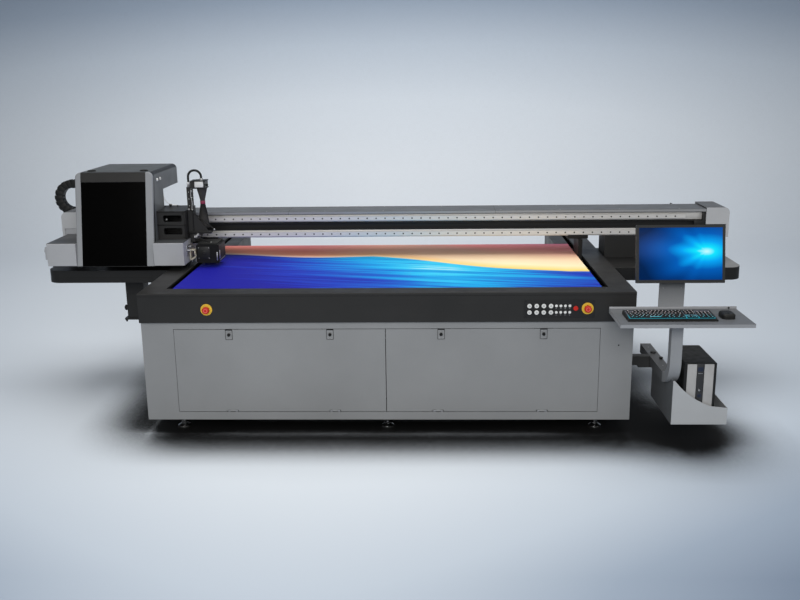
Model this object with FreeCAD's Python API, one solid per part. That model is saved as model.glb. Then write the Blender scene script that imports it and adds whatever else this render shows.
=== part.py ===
import FreeCAD, Part
import math
import os

from FreeCAD import Vector

# Flatbed UV printer. Millimetres. While it is drawn, X is 0 at the middle of the table, Y is 0 at the
# front face of the fascia and grows to the rear, and Z is 0 on the floor. save() then moves every piece
# by ORIGIN, so that the stored origin is on the floor under the middle of the whole machine.
ORIGIN = Vector(70, -822.5, 0)

# Table and cabinet
TABLE_TOP = 850
TABLE_HALF = 1407
TABLE_REAR = 2000
FASCIA_HEIGHT = 171
FASCIA_DEPTH = 125
DECK = TABLE_TOP - FASCIA_HEIGHT
CABINET_HALF = 1403
CABINET_FRONT = 18
CABINET_REAR = 1980
CABINET_FLOOR = 86
SHEET = 3

# Printing bed
BED_HALF = 1238
BED_FRONT = 126
BED_REAR = 1470
BED_THICK = 30
BOARD_THICK = 3
SLOT_OUTER = 1272

# Steel base
LEG_X = 1225
LEG_Y = (130, 1000, 1870)
TUBE = 80

# Doors
DOOR_HALF = 1216
DOOR_BOTTOM = 136
DOOR_TOP = 634
DOOR_DEPTH = 28
HINGE_Y = CABINET_FRONT + 1.5
HINGE_Z = 140
HINGE_X = (300, 900)
LATCH_X = (317, 898)
LATCH_Z = 604
RUNNING = 0.05

# Controls on the fascia
ESTOPS = (-1014, 1136)
ESTOP_Z = 757
BUTTON_X = (812, 852, 892, 932)
BUTTON_ROWS = (772, 735)
LAMP_X = (962, 987, 1012, 1037)
RED_X = 1070
PANEL_THICK = 2
RED_Z = 758

# Gantry drive under the slots
RAIL_X = 1256
SCREW_X = 1330
SCREW_Z = DECK + 45
SCREW_R = 16

# Gantry
RAIL_FACE = 1080
BEAM_FRONT = 1095
BEAM_REAR = 1330
BEAM_HALF = 2075
BEAM_LOW = 981
BEAM_HIGH = 1134
X_RAIL_Z = (1002, 1106)
X_RAIL_ENDS = (-2045, 1945)
BELT_Z = 1054
PULLEY_X = 2030
PULLEY_R = 18
CAP_END = 2230
TRAY_IN = 1425
TRAY_OUT = 2240
TRAY_FRONT = 750
TRAY_REAR = 1430
TRAY_LOW = 745
TRAY_HIGH = 826

# Carriage
HOOD = (-1976, -1482)
HOOD_FRONT = 610
HOOD_BROW = 718
HOOD_LOW = 884
HOOD_BAND = 1403
HOOD_HIGH = 1462
HOOD_REAR = 1280
HOOD_WAIST = 925
HOOD_STEP = 1332
HEAD_X = (-1880, -1780, -1680, -1580)
SKIRT = (-2160, -1290)
SKIRT_REAR = 975
SKIRT_LOW = 886
SKIRT_HIGH = 1030
PLATE = (-2090, -1298)
PLATE_HIGH = 1212
LOOP_X = -2254
LOOP_Z = 1226
LOOP_R = 126
CHAIN = 58
CHAIN_Y = (1345, 1405)
CHAIN_END = 1900

# Operator's arm
ARM_X = 1589
ARM_Y = 300
ARM_WIDE = 62
BAR_LOW = 345
BAR_HIGH = 400
TRAY_Z = 760
TILT_Y = -30
TILT_Z = 1080
TILT_REST = 12


def box(x0, x1, y0, y1, z0, z1):
    return Part.makeBox(x1 - x0, y1 - y0, z1 - z0, Vector(x0, y0, z0))


def rod_x(x0, x1, y, z, r):
    return Part.makeCylinder(r, x1 - x0, Vector(x0, y, z), Vector(1, 0, 0))


def rod_y(x, y0, y1, z, r):
    return Part.makeCylinder(r, y1 - y0, Vector(x, y0, z), Vector(0, 1, 0))


def rod_z(x, y, z0, z1, r):
    return Part.makeCylinder(r, z1 - z0, Vector(x, y, z0), Vector(0, 0, 1))


def hollow(x0, x1, y0, y1, z0, z1, wall, along):
    """A rectangular tube, open at both ends along one axis, or closed all round if along is None."""
    dx, dy, dz = [0 if axis == along else wall for axis in "xyz"]
    core = box(x0 + dx, x1 - dx, y0 + dy, y1 - dy, z0 + dz, z1 - dz)
    return box(x0, x1, y0, y1, z0, z1).cut(core)


def mirrored(shape):
    """The same piece on the other side of the table."""
    return shape.mirror(Vector(0, 0, 0), Vector(1, 0, 0))


def both(shape):
    return [shape, mirrored(shape)]


def extrude_x(points, x0, x1):
    """A closed outline in Y and Z, drawn out along X."""
    wire = Part.makePolygon([Vector(x0, y, z) for y, z in points + points[:1]])
    return Part.Face(wire).extrude(Vector(x1 - x0, 0, 0))


def edges_where(shape, test):
    return [e for e in shape.Edges if test(e)]


def runs_along(edge, axis):
    if edge.Curve.TypeId != "Part::GeomLine":
        return False
    a = edge.Vertexes[0].Point
    b = edge.Vertexes[-1].Point
    d = b.sub(a)
    return abs(abs(d.dot(axis)) - d.Length) < 1e-6


def save(node, solids):
    if not isinstance(solids, list):
        solids = [solids]
    shape = Part.makeCompound(solids)
    shape.translate(ORIGIN)
    shape.exportStep("parts/" + node + ".step")
    volume = sum(s.Volume for s in shape.Solids)
    print(node, len(shape.Solids), "solids", round(volume / 1000), "cm3", shape.isValid())


# ---------------------------------------------------------------- base and cabinet

def base_frame():
    low = CABINET_FLOOR + 24
    rail_top = DECK - TUBE
    pieces = []
    for x in (-LEG_X, LEG_X):
        pieces.append(hollow(x - 50, x + 50, 60, 1940, low, low + 60, 5, "y"))
        inner, outer = sorted((math.copysign(1180, x), math.copysign(1398, x)))
        pieces.append(hollow(inner, outer, 60, 1940, rail_top, DECK, 6, "y"))
        for y in LEG_Y:
            pieces.append(hollow(x - 44, x + 44, y - 44, y + 44, low + 60, rail_top, 5, "z"))
    inside = LEG_X - 50
    for y in (LEG_Y[0], LEG_Y[2]):
        pieces.append(hollow(-inside, inside, y - 30, y + 30, low, low + 60, 5, "x"))
    for y in (100, 560, 1020, 1480, 1900):
        pieces.append(hollow(-1180, 1180, y - 40, y + 40, rail_top, DECK, 5, "x"))
    for x in (-900, -450, 0, 450, 900):
        top = TABLE_TOP - BOARD_THICK - BED_THICK
        pieces.append(hollow(x - 40, x + 40, BED_FRONT, BED_REAR, DECK, top, 5, "y"))
    save("base_frame", pieces + screw_bearings())


def screw_bearings():
    blocks = []
    for x in (-SCREW_X, SCREW_X):
        for y in (160, 1912):
            block = box(x - 38, x + 38, y, y + 30, DECK, SCREW_Z + 34)
            blocks.append(block.cut(rod_y(x, y - 1, y + 31, SCREW_Z, 10 + RUNNING)))
    return blocks


def cabinet_panels():
    front = CABINET_FRONT
    back = front + SHEET
    top = box(-CABINET_HALF, CABINET_HALF, front, back, DOOR_TOP + 3, DECK)
    bottom = box(-CABINET_HALF, CABINET_HALF, front, back, CABINET_FLOOR, DOOR_BOTTOM - 3)
    side_strip = box(DOOR_HALF + 2, CABINET_HALF, front, back, DOOR_BOTTOM - 3, DOOR_TOP + 3)
    side = box(CABINET_HALF - SHEET, CABINET_HALF, back, CABINET_REAR, CABINET_FLOOR, DECK)
    rear = box(-CABINET_HALF, CABINET_HALF, CABINET_REAR, CABINET_REAR + SHEET, CABINET_FLOOR, DECK)
    deck = box(-1138, 1138, BED_REAR + 1, CABINET_REAR, DECK, DECK + SHEET)
    bed_rear = box(-1138, 1138, BED_REAR + 1, BED_REAR + 1 + SHEET, DECK + SHEET, TABLE_TOP - 34)
    save("cabinet_panels", [top, bottom] + both(side_strip) + both(side) + [rear, deck, bed_rear])


def door(side):
    x0, x1 = (2, DOOR_HALF) if side > 0 else (-DOOR_HALF, -2)
    y0 = CABINET_FRONT
    y1 = y0 + DOOR_DEPTH
    shell = box(x0, x1, y0, y1, DOOR_BOTTOM, DOOR_TOP)
    shell = shell.cut(box(x0 + 3, x1 - 3, y0 + SHEET, y1 + 1, DOOR_BOTTOM + 3, DOOR_TOP - 3))
    for x in [side * v for v in HINGE_X]:
        shell = shell.cut(box(x - 33, x + 33, y0 - 1, y1 + 1, DOOR_BOTTOM - 1, HINGE_Z + 6))
        knuckle = rod_x(x - 14, x + 14, HINGE_Y, HINGE_Z, 4)
        knuckle = knuckle.fuse(box(x - 14, x + 14, y0, y0 + SHEET, HINGE_Z, HINGE_Z + 6.5))
        shell = shell.fuse(knuckle).cut(rod_x(x - 15, x + 15, HINGE_Y, HINGE_Z, 2 + RUNNING))
    for x in [side * v for v in LATCH_X]:
        shell = shell.cut(box(x - 55, x + 55, y0 + SHEET, y1 + 1, DOOR_TOP - 10, DOOR_TOP + 1))
        shell = shell.cut(rod_y(x, y0 - 1, y0 + SHEET + 1, LATCH_Z, 5 + RUNNING))
    return shell.removeSplitter()


def latch_plates(side):
    plates = []
    for x in [side * v for v in LATCH_X]:
        plate = box(x - 19, x + 19, CABINET_FRONT - 2, CABINET_FRONT, LATCH_Z - 29, LATCH_Z + 28)
        plate = plate.makeFillet(4, edges_where(plate, lambda e: runs_along(e, Vector(0, 1, 0))))
        plates.append(plate.cut(rod_y(x, 0, 30, LATCH_Z, 5 + RUNNING)))
    return plates


def latch_knob(x):
    front = CABINET_FRONT - 2
    knob = rod_y(x, front - 9, front - 0.3, LATCH_Z, 9)
    knob = knob.cut(box(x - 10, x + 10, front - 10, front - 7, LATCH_Z - 1.5, LATCH_Z + 1.5))
    shaft = rod_y(x, front - 0.3, front + 12, LATCH_Z, 5)
    cam = box(x - 7, x + 46, front + 8, front + 12, LATCH_Z - 7, LATCH_Z + 7)
    return knob.fuse([shaft, cam]).removeSplitter()


def hinge_pins():
    pins = []
    for x in [s * v for s in (-1, 1) for v in HINGE_X]:
        pin = rod_x(x - 29, x + 29, HINGE_Y, HINGE_Z, 2)
        for a in (x - 29, x + 15):
            ear = rod_x(a, a + 14, HINGE_Y, HINGE_Z, 4)
            foot = box(a, a + 14, CABINET_FRONT, CABINET_FRONT + SHEET, DOOR_BOTTOM - 3, HINGE_Z)
            pin = pin.fuse([ear, foot])
        pins.append(pin.removeSplitter())
    save("door_hinge_pins", pins)


def levelling_feet():
    feet = []
    for x in (-LEG_X, 0, LEG_X):
        for y in (LEG_Y[0], LEG_Y[2]):
            pad = rod_z(x, y, 0, 12, 36)
            dome = Part.makeCone(36, 14, 14, Vector(x, y, 12), Vector(0, 0, 1))
            stud = rod_z(x, y, 26, CABINET_FLOOR + 24, 8)
            nut = rod_z(x, y, 70, 84, 16)
            feet.append(pad.fuse([dome, stud, nut]).removeSplitter())
    save("levelling_feet", feet)


# ---------------------------------------------------------------- table

def fascia_holes(shape):
    for x in ESTOPS:
        shape = shape.cut(rod_y(x, -5, 10, ESTOP_Z, 11.3))
    for z in BUTTON_ROWS:
        for x in BUTTON_X:
            shape = shape.cut(rod_y(x, -5, 10, z, 12.8))
    return shape.cut(rod_y(RED_X, -5, 10, RED_Z, 13.8))


def table_surround():
    fascia = box(-TABLE_HALF, TABLE_HALF, 0, FASCIA_DEPTH, DECK, TABLE_TOP)
    rims = edges_where(fascia, lambda e: runs_along(e, Vector(1, 0, 0))
                       and e.BoundBox.YMax < 1 and e.BoundBox.ZMin > TABLE_TOP - 1)
    fascia = fascia.makeChamfer(3, rims)
    core = box(-TABLE_HALF + 4, TABLE_HALF - 4, 4, FASCIA_DEPTH - 4, DECK + 4, TABLE_TOP - 4)
    fascia = fascia_holes(fascia.cut(core))
    wall = box(TABLE_HALF - 12, TABLE_HALF, FASCIA_DEPTH, TABLE_REAR, DECK, TABLE_TOP)
    top = box(SLOT_OUTER, TABLE_HALF - 12, FASCIA_DEPTH, TABLE_REAR, TABLE_TOP - 12, TABLE_TOP)
    inner = hollow(1140, 1238, BED_REAR + 5, TABLE_REAR, DECK + 60, TABLE_TOP, 6, "y")
    kick = box(1140, 1146, BED_REAR + 5, TABLE_REAR, DECK, DECK + 60)
    skirt = box(1140, 1146, FASCIA_DEPTH, BED_REAR, DECK, TABLE_TOP - 34)
    end = box(1242, TABLE_HALF - 12, TABLE_REAR - 6, TABLE_REAR, DECK + 4, TABLE_TOP - 12)
    pieces = [fascia]
    for piece in (wall, top, inner, kick, skirt, end):
        pieces += both(piece)
    save("table_surround", pieces)


def vacuum_bed():
    top = TABLE_TOP - BOARD_THICK
    save("vacuum_bed", box(-BED_HALF, BED_HALF, BED_FRONT, BED_REAR, top - BED_THICK, top))
    board = box(-BED_HALF + 2, BED_HALF - 2, BED_FRONT + 1, BED_REAR - 2, top, TABLE_TOP)
    save("print_board", board)


def y_drive():
    rail = box(RAIL_X - 15, RAIL_X + 15, 140, 1980, DECK, DECK + 30)
    for side in (-1, 1):
        groove = box(RAIL_X + side * 15 - 4, RAIL_X + side * 15 + 4, 100, 2000, DECK + 10, DECK + 18)
        rail = rail.cut(groove)
    save("y_rails", both(rail))
    for side, name in ((-1, "left"), (1, "right")):
        screw = rod_y(side * SCREW_X, 200, 1900, SCREW_Z, SCREW_R)
        ends = rod_y(side * SCREW_X, 150, 1956, SCREW_Z, 10)
        pulley = rod_y(side * SCREW_X, 1955, 1975, SCREW_Z, 24)
        save("y_screw_" + name, screw.fuse([ends, pulley]).removeSplitter())


# ---------------------------------------------------------------- controls

def controls():
    rings = []
    for name, x, seat in (("left", ESTOPS[0], 0), ("right", ESTOPS[1], -PANEL_THICK)):
        ring = rod_y(x, seat - 4, seat, ESTOP_Z, 33).cut(rod_y(x, seat - 5, seat + 1, ESTOP_Z, 11.3))
        rings.append(ring)
        head = rod_y(x, -30, -12, ESTOP_Z, 20)
        rims = edges_where(head, lambda e: e.BoundBox.YMax < -29)
        head = head.makeFillet(6, rims)
        save("estop_" + name, head.fuse(rod_y(x, -12, 22, ESTOP_Z, 11)).removeSplitter())
    save("estop_rings", rings)
    plate = box(782, 1176, -PANEL_THICK, 0, 703, 805)
    plate = plate.makeFillet(4, edges_where(plate, lambda e: runs_along(e, Vector(0, 1, 0))))
    save("control_panel", fascia_holes(plate))
    count = 0
    for z in BUTTON_ROWS:
        for x in BUTTON_X:
            count += 1
            save("button_%d" % count, push_button(x, z, 12.5))
    save("button_red", push_button(RED_X, RED_Z, 13.5))
    lamps = [rod_y(x, -PANEL_THICK - 4, -PANEL_THICK, z, 8) for z in BUTTON_ROWS for x in LAMP_X]
    lamps = [s.makeFillet(1.5, edges_where(s, lambda e: e.BoundBox.YMax < -5)) for s in lamps]
    save("indicator_lamps", lamps)


def push_button(x, z, r):
    cap = rod_y(x, -9, 14, z, r)
    return cap.makeFillet(1.5, edges_where(cap, lambda e: e.BoundBox.YMax < -8))


# ---------------------------------------------------------------- gantry

def gantry_beam():
    beam = hollow(-BEAM_HALF, BEAM_HALF, BEAM_FRONT, BEAM_REAR, BEAM_LOW, BEAM_HIGH, 8, None)
    for z in X_RAIL_Z:
        seat = box(-BEAM_HALF, BEAM_HALF, RAIL_FACE + 8, BEAM_FRONT, z - 21, z + 27)
        beam = beam.fuse(seat)
    save("gantry_beam", [beam.removeSplitter(), cable_trough()])
    cover = box(-BEAM_HALF, BEAM_HALF, 1058, 1300, BEAM_HIGH + 3, BEAM_HIGH + 20)
    cover = cover.cut(box(-BEAM_HALF - 1, BEAM_HALF + 1, 1061, 1297, BEAM_HIGH, BEAM_HIGH + 17))
    stiffener = box(-BEAM_HALF, BEAM_HALF, 1150, 1250, BEAM_HIGH, BEAM_HIGH + 17)
    save("beam_cover", cover.fuse(stiffener).removeSplitter())
    rails = []
    for z in X_RAIL_Z:
        x0, x1 = X_RAIL_ENDS
        rail = box(x0, x1, RAIL_FACE - 14, RAIL_FACE + 8, z - 14, z + 14)
        for edge in (z - 14, z + 14):
            rail = rail.cut(box(x0 - 1, x1 + 1, RAIL_FACE - 8, RAIL_FACE, edge - 3, edge + 3))
        rails.append(rail)
    save("x_rails", rails)


def end_cap():
    front, rear, low, high = 1060, 1340, 966, 1164
    cap = box(BEAM_HALF + 3, CAP_END, front, rear, low, high)
    rims = edges_where(cap, lambda e: runs_along(e, Vector(0, 1, 0))
                       and e.BoundBox.XMin > CAP_END - 1 and e.BoundBox.ZMin > high - 1)
    cap = cap.makeFillet(38, rims)
    cap = cap.cut(box(BEAM_HALF, CAP_END - 18, front - 1, rear - 15, low - 1, 1052))
    return cap.cut(box(BEAM_HALF, CAP_END - 40, front + 12, rear - 15, 1040, high - 40))


def gantry_legs():
    foot = box(1176, 1312, 1084, 1300, BEAM_LOW - 24, BEAM_LOW)
    post = box(1242, 1270, 1045, 1235, DECK + 56, BEAM_LOW - 24)
    block = box(RAIL_X - 42, RAIL_X + 42, 1040, 1240, DECK + 12, DECK + 56)
    block = block.cut(box(RAIL_X - 15.1, RAIL_X + 15.1, 1000, 1300, DECK, DECK + 30.1))
    for side in (-1, 1):
        edge = RAIL_X + side * 15
        tooth = box(edge - 3.9, edge + 3.9, 1040, 1240, DECK + 10.1 + 2, DECK + 17.9)
        block = block.fuse(tooth)
    nut = box(RAIL_X + 42, SCREW_X + 30, 1100, 1180, SCREW_Z - 30, SCREW_Z + 30)
    nut = nut.cut(rod_y(SCREW_X, 1090, 1190, SCREW_Z, SCREW_R + RUNNING))
    leg = foot.fuse([post, block, nut]).removeSplitter()
    save("gantry_legs", both(leg))


def service_tray():
    tray = box(TRAY_IN, TRAY_OUT, TRAY_FRONT, TRAY_REAR, TRAY_LOW, TRAY_HIGH)
    corners = edges_where(tray, lambda e: runs_along(e, Vector(0, 0, 1))
                          and e.BoundBox.XMin > TRAY_OUT - 1)
    tray = tray.makeFillet(85, corners)
    well = box(TRAY_IN + 4, TRAY_OUT - 4, TRAY_FRONT + 4, TRAY_REAR - 4, TRAY_LOW + 4, TRAY_HIGH - 4)
    inner = edges_where(well, lambda e: runs_along(e, Vector(0, 0, 1))
                        and e.BoundBox.XMin > TRAY_OUT - 5)
    return tray.cut(well.makeFillet(81, inner))


def tray_supports():
    panel = hollow(1425, 1960, RAIL_FACE + 10, 1300, TRAY_HIGH, BEAM_LOW, 6, None)
    leg = hollow(-1815, -1695, 1010, 1130, 440, TRAY_LOW, 6, "z")
    knob = rod_x(-1833, -1815, 1060, 500, 16).fuse(rod_x(-1842, -1833, 1060, 500, 8))
    flange = box(-1835, -1675, 1000, 1140, 428, 440)
    save("tray_supports", both(panel) + [leg, knob, flange])


def belt_drive():
    def loop(r, y0, y1):
        ends = [rod_y(x, y0, y1, BELT_Z, r) for x in (-PULLEY_X, PULLEY_X)]
        return box(-PULLEY_X, PULLEY_X, y0, y1, BELT_Z - r, BELT_Z + r).fuse(ends)
    front, rear = 1072, 1088
    belt = loop(PULLEY_R + 2.4, front, rear).cut(loop(PULLEY_R + 0.4, front - 1, rear + 1))
    save("x_belt", belt.removeSplitter())
    for name, x in (("idler", -PULLEY_X), ("drive", PULLEY_X)):
        wheel = rod_y(x, front, rear, BELT_Z, PULLEY_R)
        wheel = wheel.fuse(rod_y(x, 1064, 1094.7, BELT_Z, 8))
        save("x_pulley_" + name, wheel.removeSplitter())


def cable_trough():
    low = LOOP_Z - LOOP_R - 6
    y1 = CHAIN_Y[1] + 10
    floor = box(-BEAM_HALF, BEAM_HALF, BEAM_REAR, y1, low - SHEET, low)
    wall = box(-BEAM_HALF, BEAM_HALF, y1 - SHEET, y1, low, low + 40)
    return floor.fuse(wall).removeSplitter()


def chain_lower_run():
    low = LOOP_Z - LOOP_R - 4
    save("chain_lower_run", box(LOOP_X + 1, CHAIN_END, CHAIN_Y[0], CHAIN_Y[1], low, low + CHAIN))


# ---------------------------------------------------------------- carriage

def chain_loop():
    outer = LOOP_R
    inner = LOOP_R - CHAIN
    y0, y1 = CHAIN_Y
    centre_z = LOOP_Z - 4
    ring = rod_y(LOOP_X, y0, y1, centre_z, outer).cut(rod_y(LOOP_X, y0 - 1, y1 + 1, centre_z, inner))
    ring = ring.cut(box(LOOP_X, LOOP_X + 300, y0 - 1, y1 + 1, centre_z - 200, centre_z + 200))
    upper = box(LOOP_X, -1800, y0, y1, centre_z + inner, centre_z + outer)
    bracket = box(-1860, -1800, HOOD_REAR - 90, y0, HOOD_STEP - 4, HOOD_STEP)
    bracket = bracket.fuse(box(-1860, -1800, y0 - 4, y0, centre_z + inner, HOOD_STEP - 4))
    save("chain_loop", [ring.fuse(upper).removeSplitter(), bracket.removeSplitter()])


def hood_face(z):
    """Where the hood's front stands at a height: it leans back towards the top."""
    return HOOD_FRONT + (HOOD_BROW - HOOD_FRONT) * (z - HOOD_LOW) / (HOOD_HIGH - HOOD_LOW)


def leaning(x0, x1, z0, z1, front, back):
    """A slab that follows the hood's front, from one depth behind it to another."""
    low, high = hood_face(z0), hood_face(z1)
    return extrude_x([(low + front, z0), (high + front, z1), (high + back, z1), (low + back, z0)], x0, x1)


def hood():
    x0, x1 = HOOD
    outline = [(HOOD_FRONT, HOOD_LOW), (HOOD_BROW, HOOD_HIGH), (HOOD_REAR, HOOD_HIGH),
               (HOOD_REAR, HOOD_STEP), (HOOD_WAIST, HOOD_STEP), (HOOD_WAIST, HOOD_LOW)]
    body = extrude_x(outline, x0, x1)
    rims = edges_where(body, lambda e: runs_along(e, Vector(0, 1, 0)) and e.BoundBox.ZMin > HOOD_HIGH - 1)
    body = body.makeFillet(32, rims)
    brow = edges_where(body, lambda e: e.BoundBox.YMax < HOOD_BROW + 1 and e.BoundBox.ZMin > HOOD_HIGH - 30)
    body = body.makeFillet(8, brow)
    low, high = HOOD_LOW - 1, HOOD_HIGH - 30
    room = extrude_x([(hood_face(low) + 6, low), (hood_face(high) + 6, high), (HOOD_WAIST - 6, high),
                      (HOOD_WAIST - 6, low)], x0 + 6, x1 - 6)
    rear_room = box(x0 + 6, x1 - 6, HOOD_WAIST - 10, HOOD_REAR - 6, HOOD_STEP + 6, HOOD_HIGH - 30)
    body = body.cut(room).cut(rear_room)
    body = body.cut(leaning(x0 + 37, x1 - 45, HOOD_LOW - 1, HOOD_BAND, -2, 8))
    save("carriage_hood", body.removeSplitter())
    save("hood_front_panel", leaning(x0 + 37.3, x1 - 45.3, HOOD_LOW, HOOD_BAND - 0.3, 2, 6))


def skirt_box(x0, x1, low, high, front, rear):
    body = box(x0, x1, front, rear, low, high)
    rims = edges_where(body, lambda e: runs_along(e, Vector(1, 0, 0))
                       and e.BoundBox.YMax < front + 1 and e.BoundBox.ZMin > high - 1)
    body = body.makeFillet(6, rims)
    return body.cut(box(x0 + 4, x1 - 4, front + 4, rear - 4, low + 4, high - 4))


def carriage():
    front = HOOD_FRONT + 2
    left = skirt_box(SKIRT[0], HOOD[0] - 0.5, SKIRT_LOW, SKIRT_HIGH, front, SKIRT_REAR)
    right = skirt_box(HOOD[1] + 0.5, SKIRT[1], SKIRT_LOW, SKIRT_HIGH, front, SKIRT_REAR)
    latch = box(-2192, -2160, 660, 720, 918, 998).fuse(rod_x(-2205, -2192, 690, 972, 12))
    save("carriage_skirt", [left, right, latch.removeSplitter()])
    x0, x1 = PLATE
    plate = box(x0, x1, 985, 1005, 1003, PLATE_HIGH)
    tie = box(-1960, -1500, HOOD_WAIST, 985, 1040, 1060)
    tie = tie.fuse(box(-1960, -1500, HOOD_WAIST, 985, 1140, 1160))
    foot = box(x0, x1, SKIRT_REAR, 985, 1003, 1024)
    plate = plate.fuse([tie, foot] + side_bracket())
    blocks = []
    for z in X_RAIL_Z:
        for x in (-1995, -1440):
            block = box(x - 60, x + 60, 1005, RAIL_FACE - 0.4, z - 26, z + 26)
            block = block.cut(box(x - 61, x + 61, RAIL_FACE - 14.1, RAIL_FACE + 1, z - 14.1, z + 14.1))
            for side in (-1, 1):
                a, b = sorted((z + side * 11.1, z + side * 15))
                tooth = box(x - 60, x + 60, RAIL_FACE - 7.9, RAIL_FACE - 0.4, a, b)
                block = block.fuse(tooth)
            blocks.append(block)
    clamp = box(-1760, -1680, 1005, 1070, BELT_Z - 8, BELT_Z + 8)
    save("carriage_plate", plate.fuse(blocks + [clamp]).removeSplitter())


def side_bracket():
    """The slotted bracket on the right skirt: a front, a cheek and a roof back to the carriage plate."""
    x0, x1, low = HOOD[1] + 0.5, PLATE[1], SKIRT_HIGH + 0.5
    front = box(x0, x1, 740, 746, low, PLATE_HIGH)
    for z0, z1 in ((1062, 1104), (1143, 1185)):
        slot = box(-1442, -1324, 739, 747, z0, z1)
        slot = slot.makeFillet(10, edges_where(slot, lambda e: runs_along(e, Vector(0, 1, 0))))
        front = front.cut(slot)
    cheek = box(x1 - 6, x1, 740, 985, low, PLATE_HIGH)
    roof = box(x0, x1, 740, 985, PLATE_HIGH - 6, PLATE_HIGH)
    return [front, cheek, roof]


def print_heads():
    plate = box(-1935, -1530, 640, 840, 905, 917)
    heads = []
    for x in HEAD_X:
        head = box(x - 28, x + 28, 660, 820, 893, 905).fuse(box(x - 28, x + 28, 660, 820, 917, 1010))
        heads.append(head.fuse(box(x - 20, x + 20, 672, 808, 888, 893)))
    ink = [rod_z(x, 740, 1010, 1060, 14) for x in HEAD_X]
    body = plate.fuse(heads + ink)
    save("print_heads", body.removeSplitter())


def lamp_group():
    x0, x1 = -1296, -1270
    tie = box(PLATE[1], -1262, 976, 1005, 1003, 1030)
    arm = box(-1290, -1262, 800, 1005, 1003, 1030)
    mast = box(x0, x1, 800, 820, 1030, 1350)
    head = box(x1, -1176, 796, 884, 1350, 1396).fuse(box(x0, x1, 800, 820, 1350, 1356))
    shelf = box(x0, -1146, 780, 820, 1062, 1072)
    wire = Part.makePolygon([Vector(x1, 790, 1072), Vector(x1, 790, 1214), Vector(-1166, 790, 1072),
                             Vector(x1, 790, 1072)])
    gusset = Part.Face(wire).extrude(Vector(0, 6, 0)).fuse(box(x0, x1, 790, 800, 1072, 1214))
    save("lamp_bracket", arm.fuse([tie, mast, head, shelf, gusset]).removeSplitter())
    lamp = box(-1238, -1092, 720, 900, 880, 999)
    lamp = lamp.makeFillet(8, edges_where(lamp, lambda e: runs_along(e, Vector(0, 1, 0))))
    lamp = lamp.cut(box(-1214, -1116, 750, 870, 870, 886))
    neck = box(-1290, -1230, 840, 900, 985, 1003)
    save("uv_lamp", lamp.fuse(neck).removeSplitter())
    save("lamp_hose", [lamp_hose(), lamp_wires()])


def lamp_hose():
    """The short hose that stands on the mast, bends right over and drops into the junction box."""
    x, y, r, top = -1283, 810, 42, 1462
    path = Part.Wire([
        Part.LineSegment(Vector(x, y, 1356), Vector(x, y, top - r)).toShape(),
        Part.Arc(Vector(x, y, top - r), Vector(x + r, y, top), Vector(x + 2 * r, y, top - r)).toShape(),
        Part.LineSegment(Vector(x + 2 * r, y, top - r), Vector(x + 2 * r, y, 1396)).toShape(),
    ])
    ring = Part.Wire([Part.makeCircle(8, Vector(x, y, 1356), Vector(0, 0, 1))])
    return path.makePipeShell([ring], True, False)


def lamp_wires():
    """The sleeved wires under the junction box: gathered at a band, then fanned out."""
    x, y = -1208, 848
    sleeve = Part.makeCone(14, 34, 92, Vector(x, y, 1258), Vector(0, 0, 1))
    fan = Part.makeCone(40, 14, 168, Vector(x, y, 1090), Vector(0, 0, 1))
    return sleeve.fuse(fan).removeSplitter()


# ---------------------------------------------------------------- operator's arm

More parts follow.
